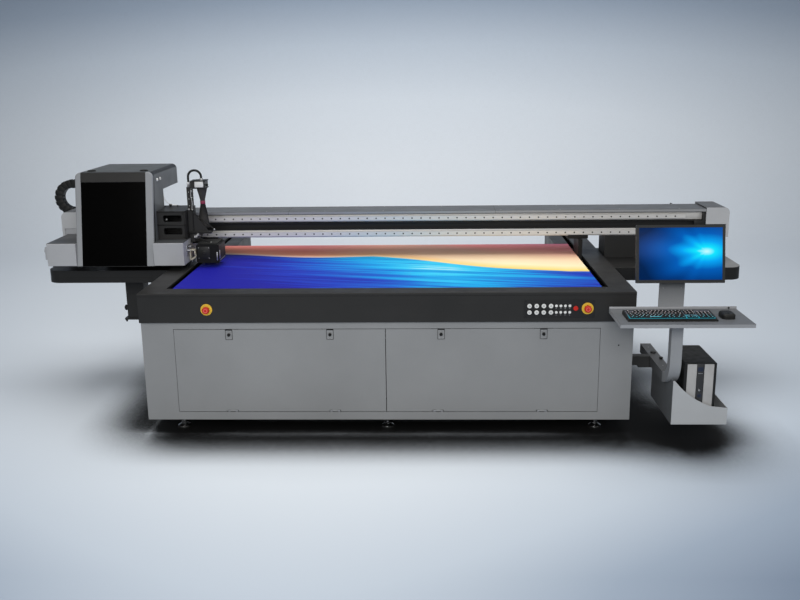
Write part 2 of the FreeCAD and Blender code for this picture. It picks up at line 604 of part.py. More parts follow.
def workstation():
    half = ARM_WIDE / 2
    stub = box(CABINET_HALF, ARM_X - half - 3, 235, 285, BAR_LOW, BAR_HIGH)
    tongue = box(1490, ARM_X + 26, 235, ARM_Y + 26, BAR_LOW - 14, BAR_LOW - 1)
    stub = stub.fuse([tongue, box(1490, ARM_X - half - 3, 235, 285, BAR_LOW - 1, BAR_LOW)])
    pin = rod_z(ARM_X, ARM_Y, BAR_LOW - 1, BAR_HIGH + 1, 10)
    head = rod_z(ARM_X, ARM_Y, BAR_HIGH + 1, BAR_HIGH + 10, 16)
    save("arm_stub", stub.fuse([pin, head]).removeSplitter())

    r_out = 160
    r_in = r_out - (BAR_HIGH - BAR_LOW)
    yc = -40
    zc = BAR_LOW + r_out
    x0, x1 = ARM_X - half, ARM_X + half
    bar = box(x0, x1, yc, 500, BAR_LOW, BAR_HIGH)
    bar = bar.cut(rod_z(ARM_X, ARM_Y, BAR_LOW - 1, BAR_HIGH + 1, 10 + RUNNING))
    bend = rod_x(x0, x1, yc, zc, r_out).cut(rod_x(x0 - 1, x1 + 1, yc, zc, r_in))
    bend = bend.common(box(x0, x1, yc - r_out, yc, zc - r_out, zc))
    upright = box(x0, x1, yc - r_out, yc - r_in, zc, TRAY_Z - 32)
    foot = box(1520, 1658, yc - r_out, -24, TRAY_Z - 32, TRAY_Z - 20)
    post = box(1520, 1658, -36, -24, TRAY_Z - 20, 1062)
    save("monitor_arm", bar.fuse([bend, upright, foot, post] + monitor_ears()).removeSplitter())

    tray = box(1249, 1947, -355, -38, TRAY_Z - 20, TRAY_Z)
    tray = tray.cut(box(1252, 1944, -352, -41, TRAY_Z - 21, TRAY_Z - 3))
    lip = box(1249, 1947, -41, -38, TRAY_Z, TRAY_Z + 15)
    ledge = box(1500, 1680, -200, -60, TRAY_Z - 20, TRAY_Z - 3)
    save("keyboard_tray", tray.fuse([lip, ledge]).removeSplitter())
    monitor()
    keyboard = extrude_x([(-300, 0), (-300, 12), (-140, 22), (-140, 0)], 1300, 1770)
    keyboard.translate(Vector(0, 0, TRAY_Z))
    rims = edges_where(keyboard, lambda e: e.BoundBox.YLength > 100 and e.BoundBox.ZMax > TRAY_Z + 20)
    save("keyboard", keyboard.makeFillet(5, rims))
    mouse = box(1804, 1876, -262, -165, TRAY_Z, TRAY_Z + 28)
    mouse = mouse.makeFillet(24, edges_where(mouse, lambda e: runs_along(e, Vector(0, 0, 1))))
    mouse = mouse.makeFillet(12, edges_where(mouse, lambda e: e.BoundBox.ZMin > TRAY_Z + 27))
    save("mouse", mouse)
    computer()


def monitor_ears():
    ears = [rod_x(1536, 1642, TILT_Y, TILT_Z, 5)]
    for x in (1536, 1626):
        ear = rod_x(x, x + 16, TILT_Y, TILT_Z, 13)
        ears.append(ear.fuse(box(x, x + 16, -36, -24, 1062, TILT_Z)))
    return ears


def monitor():
    body = box(1374, 1850, -80, -52, 911, 1226)
    body = body.makeFillet(5, edges_where(body, lambda e: runs_along(e, Vector(0, 1, 0))))
    body = body.cut(box(1388, 1836, -81, -78, 928, 1212))
    neck = box(1556, 1622, -54, TILT_Y, TILT_Z - 12, TILT_Z + 12)
    knuckle = rod_x(1556, 1622, TILT_Y, TILT_Z, 13)
    body = body.fuse([neck, knuckle]).cut(rod_x(1550, 1630, TILT_Y, TILT_Z, 5 + RUNNING))
    body.rotate(Vector(0, TILT_Y, TILT_Z), Vector(-1, 0, 0), TILT_REST)
    save("monitor", body.removeSplitter())


def computer():
    x0, x1, y0, y1, low, high = 1582, 1887, -200, 270, 143, 396
    under_bar = BAR_LOW - SHEET
    floor = box(x0, x1, y0, y1, low, low + SHEET)
    edge = [Vector(x0, y0, low), Vector(x0, y0, high), Vector(x0 + 10, y0, high)]
    ends = [Vector(1797, y0, 249), Vector(x1, y0, 239), Vector(x1, y0, low), Vector(x0, y0, low)]
    curve = Part.Arc(edge[-1], Vector(1690, y0, 303), ends[0]).toShape()
    front = Part.Wire([Part.makePolygon(edge), curve, Part.makePolygon(ends)])
    front = Part.Face(front).extrude(Vector(0, SHEET, 0))
    left = extrude_x([(y0, low), (y0, high), (-165, high), (-130, 370), (-90, 350), (-40, under_bar),
                      (150, under_bar), (165, 325), (y1, 325), (y1, low)], x0, x0 + SHEET)
    flange = box(x0, ARM_X + 28, -30, 150, under_bar, BAR_LOW)
    right = box(x1 - SHEET, x1, y0, y1, low, 239)
    rear = box(x0, x1, y1 - SHEET, y1, low, 225)
    save("pc_bracket", floor.fuse([front, left, flange, right, rear]).removeSplitter())
    tower = box(1644, 1819, -180, 150, low + SHEET, 494)
    tower = tower.makeFillet(6, edges_where(tower, lambda e: runs_along(e, Vector(0, 1, 0))))
    save("pc_tower", tower)


def main():
    os.makedirs("parts", exist_ok=True)
    base_frame()
    cabinet_panels()
    for side, name in ((-1, "left"), (1, "right")):
        save("door_" + name, door(side))
        save("latch_plates_" + name, latch_plates(side))
    for number, x in enumerate((-LATCH_X[1], -LATCH_X[0], LATCH_X[0], LATCH_X[1]), 1):
        save("latch_knob_%d" % number, latch_knob(x))
    hinge_pins()
    levelling_feet()
    table_surround()
    vacuum_bed()
    y_drive()
    controls()
    gantry_beam()
    save("beam_end_caps", both(end_cap()))
    gantry_legs()
    save("service_trays", both(service_tray()))
    tray_supports()
    belt_drive()
    chain_lower_run()
    chain_loop()
    hood()
    carriage()
    print_heads()
    lamp_group()
    workstation()


main()
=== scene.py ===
import itertools
import math

import bmesh
import bpy
from mathutils import Matrix, Vector


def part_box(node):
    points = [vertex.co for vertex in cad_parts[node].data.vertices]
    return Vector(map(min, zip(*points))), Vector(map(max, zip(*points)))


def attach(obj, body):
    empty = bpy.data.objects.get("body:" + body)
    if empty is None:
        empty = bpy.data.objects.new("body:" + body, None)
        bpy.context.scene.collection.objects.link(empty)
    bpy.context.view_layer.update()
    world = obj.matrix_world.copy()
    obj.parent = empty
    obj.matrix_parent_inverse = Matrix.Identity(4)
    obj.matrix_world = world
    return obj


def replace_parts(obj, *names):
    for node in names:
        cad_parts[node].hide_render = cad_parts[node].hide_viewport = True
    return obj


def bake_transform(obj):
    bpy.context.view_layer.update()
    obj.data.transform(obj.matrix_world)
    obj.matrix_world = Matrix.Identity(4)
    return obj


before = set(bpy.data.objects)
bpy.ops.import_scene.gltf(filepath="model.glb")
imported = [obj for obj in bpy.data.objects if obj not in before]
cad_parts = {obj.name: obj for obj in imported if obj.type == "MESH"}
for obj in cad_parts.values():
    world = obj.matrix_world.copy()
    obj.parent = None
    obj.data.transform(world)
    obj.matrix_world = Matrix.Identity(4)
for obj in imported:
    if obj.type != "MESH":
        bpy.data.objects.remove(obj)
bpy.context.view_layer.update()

# The drawing's origin: middle of the table, front face of the fascia, floor.
_low, _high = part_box("table_surround")
ORIGIN = Vector(((_low.x + _high.x) / 2, _low.y, 0))
MM = 0.001


def at(x, y, z):
    """A place given in the drawing's millimetres, as a point in the row frame."""
    return ORIGIN + Vector((x, y, z)) * MM


def node_box(name):
    """A node's box in the drawing's millimetres: low corner, high corner."""
    return [(corner - ORIGIN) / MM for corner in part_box(name)]


def front_middle(name, lift=0.0):
    """The middle of a node's front face, moved back by lift."""
    low, high = node_box(name)
    return Vector(((low.x + high.x) / 2, low.y + lift, (low.z + high.z) / 2))


# ---------------------------------------------------------------- places and sizes, in millimetres

FRONT, REAR, UP, DOWN, LEFT, RIGHT = (0, -1, 0), (0, 1, 0), (0, 0, 1), (0, 0, -1), (-1, 0, 0), (1, 0, 0)
SHARP_ANGLE = 0.7                           # radians: edges past this stay sharp

RAIL_Z, HOLE_PITCH = (1002, 1106), 60.0     # the linear rails' bolt holes
Y_RAIL_X = 1256                             # middle of each Y rail, from the centre line
LOOP_OUT, LOOP_IN = 126.0, 68.0             # the energy chain's loop: outer and inner radius
LOOP_LINKS, LINK_PITCH = 9, 56.0
RUN_TALL = 43.0                             # height of the chain's links in the trough
UPPER_END = -1800.0                         # where the chain's upper run ends

_low, _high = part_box("hood_front_panel")
HOOD_LEAN = (_high.y - _low.y - 0.004) / (_high.z - _low.z)     # how far the hood's front leans back
HOOD_SEAM = (0.018, 0.040)                  # metres: the black seam's start and end behind that front
HOOD_CROWN = 0.059                          # metres: height of the hood's dark top band
HOOD_WAIST = 925                            # how far back its narrow lower part goes
PLATE_EDGE, PLATE_TOP = -1298, 1212         # outer edge and top of the slotted bracket
HOSE_FOOT, HOSE_SPAN = (-1283, 810), 84     # the lamp's hose: its foot, and the width of its bend
WIRES = (-1208, 848)                        # the sleeved wires

LAMP_X, LAMP_ROWS = (962, 987, 1012, 1037), (772, 735)
LATCH_X = (317, 898)
FEET_X, FEET_Y = (-1225, 0, 1225), (130, 1870)
LOUVRE_PITCH = 22

SCREEN_Y = -80                              # face of the screen before it is tilted
MONITOR_PLACE = (Matrix.Translation((0, -30, 1080)) @ Matrix.Rotation(math.radians(-12), 4, "X")
                 @ Matrix.Translation((0, 30, -1080)))
KEY_UNIT = 19.6

RAIL_PLUG = [(5.2, 0), (5.2, 0.4), (4.4, 0.5), (4.2, 0.25), (0, 0.25)]
LINK_PIN = [(8, -1), (8, 0.1), (6.4, 0.1), (6, -0.4), (0, -0.4)]


# ---------------------------------------------------------------- materials

class Net:
    """A material's node tree, with nodes that take their inputs as keywords."""

    def __init__(self, name):
        self.material = bpy.data.materials.new(name)
        self.material.use_nodes = True
        self.tree = self.material.node_tree
        self.tree.nodes.clear()
        self.out = self.tree.nodes.new("ShaderNodeOutputMaterial")
        self.coords = self.tree.nodes.new("ShaderNodeTexCoord").outputs["Object"]

    def set(self, socket, value):
        if isinstance(value, bpy.types.NodeSocket):
            self.tree.links.new(value, socket)
        else:
            socket.default_value = value

    def node(self, kind, out=0, **inputs):
        made = self.tree.nodes.new("ShaderNode" + kind)
        for key, value in inputs.items():
            if key in made.inputs:
                self.set(made.inputs[key], value)
            elif key.startswith("in") and key[2:].isdigit():
                self.set(made.inputs[int(key[2:])], value)
            else:
                setattr(made, key, value)
        return made.outputs[out]

    def math(self, operation, a, b=0.0, c=0.0):
        return self.node("Math", operation=operation, in0=a, in1=b, in2=c)

    def times(self, a, b):
        return self.math("MULTIPLY", a, b)

    def plus(self, a, b):
        return self.math("ADD", a, b)

    def minus(self, a, b):
        return self.math("SUBTRACT", a, b)

    def noise(self, scale, detail=3.0, stretch=None, distortion=0.0):
        vector = self.coords
        if stretch is not None:
            vector = self.node("Mapping", Vector=vector, Scale=stretch)
        return self.node("TexNoise", Vector=vector, Scale=scale, Detail=detail, Distortion=distortion)

    def spread(self, value, low, high, start=0.3, end=0.7):
        made = self.tree.nodes.new("ShaderNodeMapRange")
        self.set(made.inputs["Value"], value)
        for key, number in (("From Min", start), ("From Max", end), ("To Min", low), ("To Max", high)):
            made.inputs[key].default_value = number
        return made.outputs[0]

    def mix(self, factor, a, b):
        made = self.tree.nodes.new("ShaderNodeMix")
        made.data_type = "RGBA"
        self.set(made.inputs[0], factor)
        self.set(made.inputs[6], a)
        self.set(made.inputs[7], b)
        return made.outputs[2]

    def mottled(self, cloud, code, low=0.92, high=1.08):
        """A colour that varies with a cloud, from a darker to a lighter tone."""
        return self.mix(cloud, shade(code, low), shade(code, high))

    def along(self, axis):
        return self.node("SeparateXYZ", "XYZ".index(axis), Vector=self.coords)

    def above(self, axis, limit, soft=0.0004):
        """1 where the place along an axis is past the limit."""
        return self.spread(self.along(axis), 0.0, 1.0, limit - soft, limit + soft)

    def ramp(self, factor, stops):
        made = self.tree.nodes.new("ShaderNodeValToRGB")
        self.set(made.inputs[0], factor)
        row = made.color_ramp.elements
        while len(row) < len(stops):
            row.new(0.5)
        for element, (place, colour) in zip(row, stops):
            element.position = place
            element.color = rgb(colour)
        return made.outputs[0]

    def rounded(self, radius):
        made = self.tree.nodes.new("ShaderNodeBevel")
        made.samples = 4
        made.inputs["Radius"].default_value = radius
        return made.outputs[0]

    def bump(self, height, distance, strength=1.0, normal=None):
        made = self.tree.nodes.new("ShaderNodeBump")
        made.inputs["Distance"].default_value = distance
        made.inputs["Strength"].default_value = strength
        self.set(made.inputs["Height"], height)
        if normal is not None:
            self.set(made.inputs["Normal"], normal)
        return made.outputs[0]

    def surface(self, colour, rough, normal=None, **sockets):
        shader = self.tree.nodes.new("ShaderNodeBsdfPrincipled")
        self.set(shader.inputs["Base Color"], colour)
        self.set(shader.inputs["Roughness"], rough)
        if normal is not None:
            self.set(shader.inputs["Normal"], normal)
        for key, value in sockets.items():
            self.set(shader.inputs[key.replace("_", " ")], value)
        self.tree.links.new(shader.outputs[0], self.out.inputs[0])
        return self.material


def linear(value):
    return value / 12.92 if value <= 0.04045 else ((value + 0.055) / 1.055) ** 2.4


def rgb(code):
    """A colour written as 0xRRGGBB, as the linear values that the nodes take."""
    return tuple(linear((code >> shift & 255) / 255) for shift in (16, 8, 0)) + (1.0,)


def shade(code, by):
    return tuple(min(1.0, c * by) for c in rgb(code)[:3]) + (1.0,)


def painted(name, code, rough, texture=1400.0, depth=0.00004, edge=0.0012, wear=0.25, specular=0.4):
    """Powder coat or textured paint: fine orange peel, faint blotches, edges rubbed lighter."""
    net = Net(name)
    return net.surface(*coat(net, code, rough, texture, depth, edge, wear), Specular_IOR_Level=specular)


def coat(net, code, rough, texture, depth, edge, wear):
    colour = net.mottled(net.spread(net.noise(2.2, 5.0), 0, 1), code, 0.93, 1.06)
    speck = net.noise(texture * 0.35, 2.0)
    colour = net.mix(net.spread(speck, 0, 0.22, 0.45, 0.7), colour, shade(code, 0.72))
    corner = net.rounded(edge)
    flat = net.node("NewGeometry", out=1)
    turned = net.node("VectorMath", out=1, operation="DOT_PRODUCT", in0=corner, in1=flat)
    scuffs = net.spread(net.noise(38.0, 6.0), 0.2, 1.0, 0.42, 0.62)
    rubbed = net.times(net.spread(turned, wear, 0.0, 0.90, 0.995), scuffs)
    colour = net.mix(rubbed, colour, shade(code, 1.9))
    roughness = net.spread(net.noise(7.0, 6.0), rough - 0.06, rough + 0.06)
    peel = net.bump(net.noise(texture, 2.0), depth, 0.6, corner)
    return colour, roughness, peel


def brushed(name, code, rough, grain=(6.0, 260.0, 260.0), metallic=1.0, edge=0.0006):
    """Ground or drawn metal: fine lines along one axis and slow changes of shine."""
    net = Net(name)
    lines = net.noise(7.0, 4.0, grain)
    colour = net.mottled(net.spread(lines, 0, 1), code, 0.86)
    smudge = net.spread(net.noise(9.0, 5.0), 0.0, 0.1)
    roughness = net.plus(net.spread(lines, rough - 0.05, rough + 0.07), smudge)
    normal = net.bump(lines, 0.00003, 0.35, net.rounded(edge))
    return net.surface(colour, roughness, normal, Metallic=metallic)


def moulded(name, code, rough, texture=2600.0, depth=0.00003, edge=0.0007):
    """Moulded plastic: spark-eroded grain with a soft sheen and handling marks."""
    net = Net(name)
    colour = net.mottled(net.spread(net.noise(14.0, 5.0), 0, 1), code)
    roughness = net.spread(net.noise(30.0, 6.0), rough - 0.07, rough + 0.08)
    normal = net.bump(net.noise(texture, 1.0), depth, 0.7, net.rounded(edge))
    return net.surface(colour, roughness, normal, Specular_IOR_Level=0.25)


def glossy(name, code, rough=0.12):
    """Smoked acrylic with faint swirls from cleaning."""
    net = Net(name)
    swirl = net.noise(60.0, 6.0, (1.0, 1.0, 3.0), 1.5)
    colour = net.mottled(net.spread(net.noise(3.0, 4.0), 0, 1), code, 0.9, 1.15)
    roughness = net.spread(swirl, rough, rough + 0.06)
    normal = net.bump(net.noise(2.0, 1.0), 0.0004, 0.05, net.rounded(0.001))
    return net.surface(colour, roughness, normal, Specular_IOR_Level=0.03)


def hood_paint():
    """The carriage hood: light grey front columns, black seam, sides and top face painted darker as painted
    shade, a dark band along the top of the sides, and a dark brow.
    """
    low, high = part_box("carriage_hood")
    net = Net("hood_paint")
    colour, roughness, normal = coat(net, 0x888B8F, 0.46, 1500.0, 0.00003, 0.004, 0.15)
    cloud = net.spread(net.noise(2.0, 5.0), 0, 1)
    face = net.math("MULTIPLY_ADD", net.along("Z"), HOOD_LEAN, low.y - HOOD_LEAN * low.z)
    depth = net.minus(net.along("Y"), face)

    def past(place):
        return net.spread(depth, 0.0, 1.0, place - 0.0006, place + 0.0006)

    behind, skin_top = past(HOOD_SEAM[1]), net.above("Z", high.z - 0.019, 0.0006)
    # painted shade: the sides behind the front columns in a darker grey
    colour = net.mix(behind, colour, net.mottled(cloud, 0x595C5F))
    colour = net.mix(net.times(behind, skin_top), colour, net.mottled(cloud, 0x2C2D2E))
    top, seam = net.above("Z", high.z - 0.001, 0.0004), past(HOOD_SEAM[0])
    # painted shade: the top face behind the front columns in a darker grey
    colour = net.mix(net.times(seam, top), colour, net.mottled(cloud, 0x4C4F50))
    front = net.minus(1.0, behind)
    seam = net.times(seam, net.times(front, net.minus(1.0, top)))
    colour = net.mix(seam, colour, rgb(0x090909))
    inside = net.times(net.above("X", low.x + 0.0365, 0.0005),
                       net.minus(1.0, net.above("X", high.x - 0.0445, 0.0005)))
    brow = net.times(inside, net.times(net.above("Z", high.z - HOOD_CROWN, 0.0005), front))
    colour = net.mix(brow, colour, net.mottled(cloud, 0x191919))
    return net.surface(colour, roughness, normal, Specular_IOR_Level=0.3)


def chest_paint(node, name, body, lid):
    """A painted box whose top face is painted in another, darker tone, as painted shade."""
    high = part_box(node)[1]
    net = Net(name)
    colour, roughness, normal = coat(net, body, 0.44, 1500.0, 0.00003, 0.003, 0.2)
    cloud = net.spread(net.noise(3.0, 5.0), 0, 1)
    # painted shade: the top face in the second colour
    colour = net.mix(net.above("Z", high.z - 0.0015, 0.0006), colour, net.mottled(cloud, lid))
    return net.surface(colour, roughness, normal, Specular_IOR_Level=0.4)


def tray_paint():
    """The trays beside the gantry's ends: black, with the top of the right tray's outer end painted pale
    grey, a painted reflection.
    """
    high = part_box("service_trays")[1]
    net = Net("tray_paint")
    colour, roughness, normal = coat(net, 0x202020, 0.44, 1500.0, 0.00003, 0.003, 0.15)
    # painted reflection: the right tray's outer top in pale grey
    reflection_mask = net.times(net.above("Z", high.z - 0.0015, 0.0006), net.above("X", at(1985, 0, 0).x, 0.0006))
    pale = net.mix(net.spread(net.noise(3.0, 5.0), 0, 1), rgb(0x7C7D7E), rgb(0x868788))
    colour = net.mix(reflection_mask, colour, pale)
    return net.surface(colour, roughness, normal, Specular_IOR_Level=0.25)


def shelf_paint():
    """The keyboard shelf: its top face painted darker as painted shade; front edge and lip in the paler grey.
    """
    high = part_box("keyboard_tray")[1]
    net = Net("shelf_paint")
    colour, roughness, normal = coat(net, 0x8F9296, 0.44, 1500.0, 0.00003, 0.002, 0.2)
    # painted shade: the top face in a darker grey
    top = net.minus(net.above("Z", high.z - 0.0165, 0.0004), net.above("Z", high.z - 0.0144, 0.0004))
    cloud = net.spread(net.noise(3.0, 5.0), 0, 1)
    colour = net.mix(top, colour, net.mottled(cloud, 0x63666A, 0.93, 1.07))
    return net.surface(colour, roughness, normal)


def arm_paint():
    """The operator's arm: dark bar, pale bend, and a post painted darker upwards, a painted shadow of the
    monitor above it.
    """
    net = Net("arm_paint")
    colour, roughness, normal = coat(net, 0x8D9094, 0.46, 1500.0, 0.00003, 0.002, 0.2)
    bar = net.times(net.above("Y", at(0, -52, 0).y, 0.006), net.minus(1.0, net.above("Z", 0.412, 0.004)))
    colour = net.mix(bar, colour, rgb(0x595B5E))
    # painted shadow: the post darkens towards the monitor above it
    colour = net.mix(net.spread(net.along("Z"), 0.0, 1.0, 0.77, 0.93), colour, rgb(0x525558))
    return net.surface(colour, roughness, normal, Specular_IOR_Level=0.35)


def bracket_paint():
    """The computer's bracket: grey, with its outer side towards the cabinet painted darker, as painted shade.
    """
    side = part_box("pc_bracket")[0].x
    net = Net("bracket_paint")
    colour, roughness, normal = coat(net, 0xA9ACAF, 0.5, 1500.0, 0.00003, 0.002, 0.2)
    # painted shade: the outer side in a darker grey
    outer = net.minus(1.0, net.above("X", side + 0.001, 0.0004))
    dark = net.mix(net.spread(net.noise(3.0, 5.0), 0, 1), rgb(0x585B5E), rgb(0x606366))
    colour = net.mix(outer, colour, dark)
    return net.surface(colour, roughness, normal)


def print_art():
    """A printed sheet: an abstract of flowing blue bands under a warm evening gradient."""
    low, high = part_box("print_board")
    net = Net("print_art")
    u = net.math("DIVIDE", net.minus(net.along("X"), low.x), high.x - low.x)
    v = net.math("DIVIDE", net.minus(net.along("Y"), low.y), high.y - low.y)
    swell = net.times(net.math("SINE", net.math("MULTIPLY_ADD", u, 13.0, 1.2)), 0.028)
    fall = net.spread(u, 0.0, 0.30, 0.45, 0.95)
    glint = net.times(net.spread(u, 0.0, 1.0, 0.05, 0.35), 0.03)
    edge = net.minus(net.minus(net.plus(swell, 0.74), fall), net.times(u, 0.16))
    above = net.minus(v, edge)
    cool = net.ramp(above, ((0.0, 0xFFEAD6), (0.05, 0xFFAC8C), (0.14, 0xFF9880), (0.26, 0xFF9492),
                            (0.40, 0xB4607A)))
    warm = net.ramp(above, ((0.0, 0xFFDC6A), (0.12, 0xFFF3C8), (0.32, 0xFFD8B4), (0.52, 0xFF9C98),
                            (0.70, 0xB4627E)))
    sky = net.mix(net.spread(u, 0, 1, 0.25, 0.8), cool, warm)
    pair = net.tree.nodes.new("ShaderNodeCombineXYZ")
    net.set(pair.inputs[0], net.plus(net.times(u, 1.1), net.times(v, 0.75)))
    net.set(pair.inputs[1], net.minus(net.times(v, 9.0), net.times(u, -3.4)))
    net.set(pair.inputs[2], 0.0)
    streak = net.node("TexNoise", Vector=pair.outputs[0], Scale=2.6, Detail=7.0, Distortion=0.5)
    depth = net.plus(net.spread(u, -0.30, 0.42, 0.05, 0.6), net.times(above, 0.45))
    deep = net.minus(depth, net.spread(u, 0.0, 0.46, 0.66, 1.0))
    tone = net.plus(net.math("MULTIPLY_ADD", streak, 1.05, -0.17), net.plus(deep, glint))
    sea = net.ramp(tone, ((0.0, 0x17179A), (0.2, 0x1A36B8), (0.4, 0x1268D0), (0.6, 0x0FA8EA),
                          (0.8, 0x3CD2F7), (0.97, 0xC9EEF8)))
    colour = net.mix(net.spread(above, 0.0, 1.0, -0.006, 0.010), sea, sky)
    roughness = net.spread(net.noise(900.0, 2.0), 0.55, 0.7)
    grain = net.bump(net.noise(1600.0, 2.0), 0.00002, 0.5)
    return net.surface(colour, roughness, grain, Specular_IOR_Level=0.15)


def threaded(name, node):
    """A rolled ball screw: a helical groove in ground steel."""
    low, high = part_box(node)
    middle = (low + high) / 2
    net = Net(name)
    across, up = net.minus(net.along("X"), middle.x), net.minus(net.along("Z"), middle.z)
    turn = net.math("ARCTAN2", up, across)
    wave = net.math("SINE", net.plus(turn, net.times(net.along("Y"), 2 * math.pi / 0.02)))
    lines = net.noise(30.0, 3.0, (1, 12, 1))
    steel = net.mix(lines, rgb(0x9C9DA0), rgb(0xC0C1C3))
    # painted shade: the thread's groove in dark grey
    colour = net.mix(net.spread(wave, 0, 1, -0.9, 0.2), rgb(0x55575A), steel)
    return net.surface(colour, net.spread(lines, 0.22, 0.36), net.bump(wave, 0.002, 0.7), Metallic=1.0)


def toothed(name):
    """A toothed belt: ribs across its length."""
    net = Net(name)
    rib = net.math("SINE", net.times(net.along("X"), 2 * math.pi / 0.008))
    # painted shade: the hollows between the ribs darker
    colour = net.mix(net.spread(rib, 0, 1, -0.5, 0.5), rgb(0x0E0E0F), rgb(0x232426))
    return net.surface(colour, net.spread(net.noise(200.0, 2.0), 0.5, 0.7), net.bump(rib, 0.0012, 0.6))


BLACK_COAT = painted("black_coat", 0x2A2A2A, 0.42, depth=0.00003, wear=0.12, specular=0.2)
FINISH = {
    "dark_frame": painted("dark_frame", 0x1B1B1B, 0.5, wear=0.12, specular=0.2),
    "grey_panel": painted("grey_panel", 0x858789, 0.52, wear=0.2),
    "light_grey": painted("light_grey", 0x999B9F, 0.42, wear=0.2),
    "table_black": BLACK_COAT,
    "steel": brushed("steel", 0xAFB0B1, 0.34),
    "aluminium": brushed("aluminium", 0xBDBEC1, 0.40),
    "chrome": brushed("chrome", 0xD2D3D5, 0.16, (260.0, 260.0, 6.0)),
    "black_gloss": glossy("black_gloss", 0x030303),
    "black_plastic": moulded("black_plastic", 0x1B1C1C, 0.46),
    "red_plastic": moulded("red_plastic", 0xB8281F, 0.34),
    "yellow_plastic": moulded("yellow_plastic", 0xD9B13C, 0.40),
    "white_plastic": moulded("white_plastic", 0xD6D7D6, 0.36),
    "belt": moulded("belt", 0x17181A, 0.62),
    "print": print_art(),
}
FINISH["screen"] = FINISH["black_gloss"]
RAIL_SILVER = brushed("rail_silver", 0xCDCCCA, 0.46, metallic=0.35)
LATCH_METAL = brushed("latch_metal", 0x8C8D8E, 0.42, (60.0, 60.0, 60.0), 0.4)
LATCH_BLACK = moulded("latch_black", 0x121212, 0.4)
HOLE = moulded("hole_black", 0x070707, 0.6)
SOFT_RED = moulded("soft_red", 0xD8625A, 0.4)
SPECIAL = {
    "carriage_hood": hood_paint(),
    # the second colour of each chest_paint is painted shade on the top face
    "carriage_skirt": chest_paint("carriage_skirt", "skirt_paint", 0xA2A4A8, 0x424447),
    "beam_cover": chest_paint("beam_cover", "cover_paint", 0x8B8D90, 0x5A5C5F),
    "beam_end_caps": chest_paint("beam_end_caps", "cap_paint", 0xAEB0B3, 0x595B5E),
    "service_trays": tray_paint(),
    "control_panel": painted("panel_black", 0x252526, 0.42, wear=0.12, specular=0.2),
    "keyboard_tray": shelf_paint(),
    "monitor_arm": arm_paint(),
    "pc_bracket": bracket_paint(),
    "arm_stub": painted("stub_black", 0x3A3B3B, 0.46, wear=0.12, specular=0.2),
    "uv_lamp": painted("lamp_black", 0x131313, 0.45, wear=0.1, specular=0.15),
    "x_rails": RAIL_SILVER,
    "latch_plates_left": LATCH_METAL,
    "latch_plates_right": LATCH_METAL,
    **{"latch_knob_%d" % i: LATCH_BLACK for i in range(1, 5)},
    "door_hinge_pins": painted("hinge_grey", 0x8A8D92, 0.4),
    "monitor": moulded("bezel_black", 0x262727, 0.5),
    "x_belt": toothed("belt_teeth"),
    "y_screw_left": threaded("screw_thread_left", "y_screw_left"),
    "y_screw_right": threaded("screw_thread_right", "y_screw_right"),
}

for name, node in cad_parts.items():
    for index, old in enumerate(node.data.materials):
        slot = old.name.split(".")[0]
        node.data.materials[index] = SPECIAL.get(name) or FINISH.get(slot, BLACK_COAT)


# ---------------------------------------------------------------- camera, light, floor

def camera():
    data = bpy.data.cameras.new("camera")
    data.sensor_width, data.lens = 36.0, 41.12
    data.clip_start, data.clip_end = 0.1, 100.0
    made = bpy.data.objects.new("camera", data)
    bpy.context.scene.collection.objects.link(made)
    turn, down, tilt = -0.0343, 0.2447, -0.0125
    ahead = Vector((math.sin(turn) * math.cos(down), math.cos(turn) * math.cos(down), -math.sin(down)))
    right = Vector((math.cos(turn), -math.sin(turn), 0))
    up = right.cross(ahead)
    right, up = right * math.cos(tilt) + up * math.sin(tilt), up * math.cos(tilt) - right * math.sin(tilt)
    facing = Matrix((right, up, -ahead)).transposed().to_4x4()
    made.matrix_world = Matrix.Translation(at(257.3, -4981.7, 2053.7)) @ facing
    bpy.context.scene.camera = made


def area(name, place, target, size, power, tint=(1, 1, 1)):
    data = bpy.data.lights.new(name, "AREA")
    data.shape, data.size, data.size_y = "RECTANGLE", size[0], size[1]
    data.energy, data.color = power, tint
    made = bpy.data.objects.new(name, data)
    made.location = place
    made.rotation_mode = "QUATERNION"
    made.rotation_quaternion = (Vector(target) - Vector(place)).to_track_quat("-Z", "Y")
    bpy.context.scene.collection.objects.link(made)


def sweep_paint():
    """Paint for floor and backdrop: a painted falloff of light, palest round the machine and darker away from
    it, and a painted contact shadow close under it.
    """
    net = Net("studio_sweep")
    x, y, z = net.along("X"), net.along("Y"), net.along("Z")
    room = net.math("MAXIMUM", net.math("MULTIPLY_ADD", y, 0.59, 2.5), 1.1)
    wide = net.math("DIVIDE", net.plus(x, 0.3), room)
    tall = net.math("MAXIMUM", net.math("MULTIPLY_ADD", z, 0.76, -0.55), 0.0)
    near = net.math("MAXIMUM", net.math("MULTIPLY_ADD", y, -0.60, -0.2), 0.0)
    wide, tall, near = [net.times(part, part) for part in (wide, tall, near)]
    away = net.math("SQRT", net.plus(wide, net.plus(tall, near)))
    # painted falloff of light: paler near the machine, darker away from it
    colour = net.ramp(net.times(away, 0.42), ((0.0, 0xE2E8EF), (0.30, 0xD9E1EA), (0.55, 0xC0CBD8),
                                              (0.75, 0x9AA8BA), (1.0, 0x76859A)))
    # painted contact shadow: darker where ambient occlusion finds things close above
    contact_shadow = net.node("AmbientOcclusion", out=1, samples=16, Distance=0.5)
    colour = net.mix(net.spread(contact_shadow, 0.0, 1.0, 0.74, 0.99), rgb(0x060607), colour)
    roughness = net.spread(net.noise(1.2, 3.0), 0.72, 0.85)
    net.surface(colour, roughness, net.bump(net.noise(90.0, 3.0), 0.0003, 0.1), Specular_IOR_Level=0.2)
    return net.material


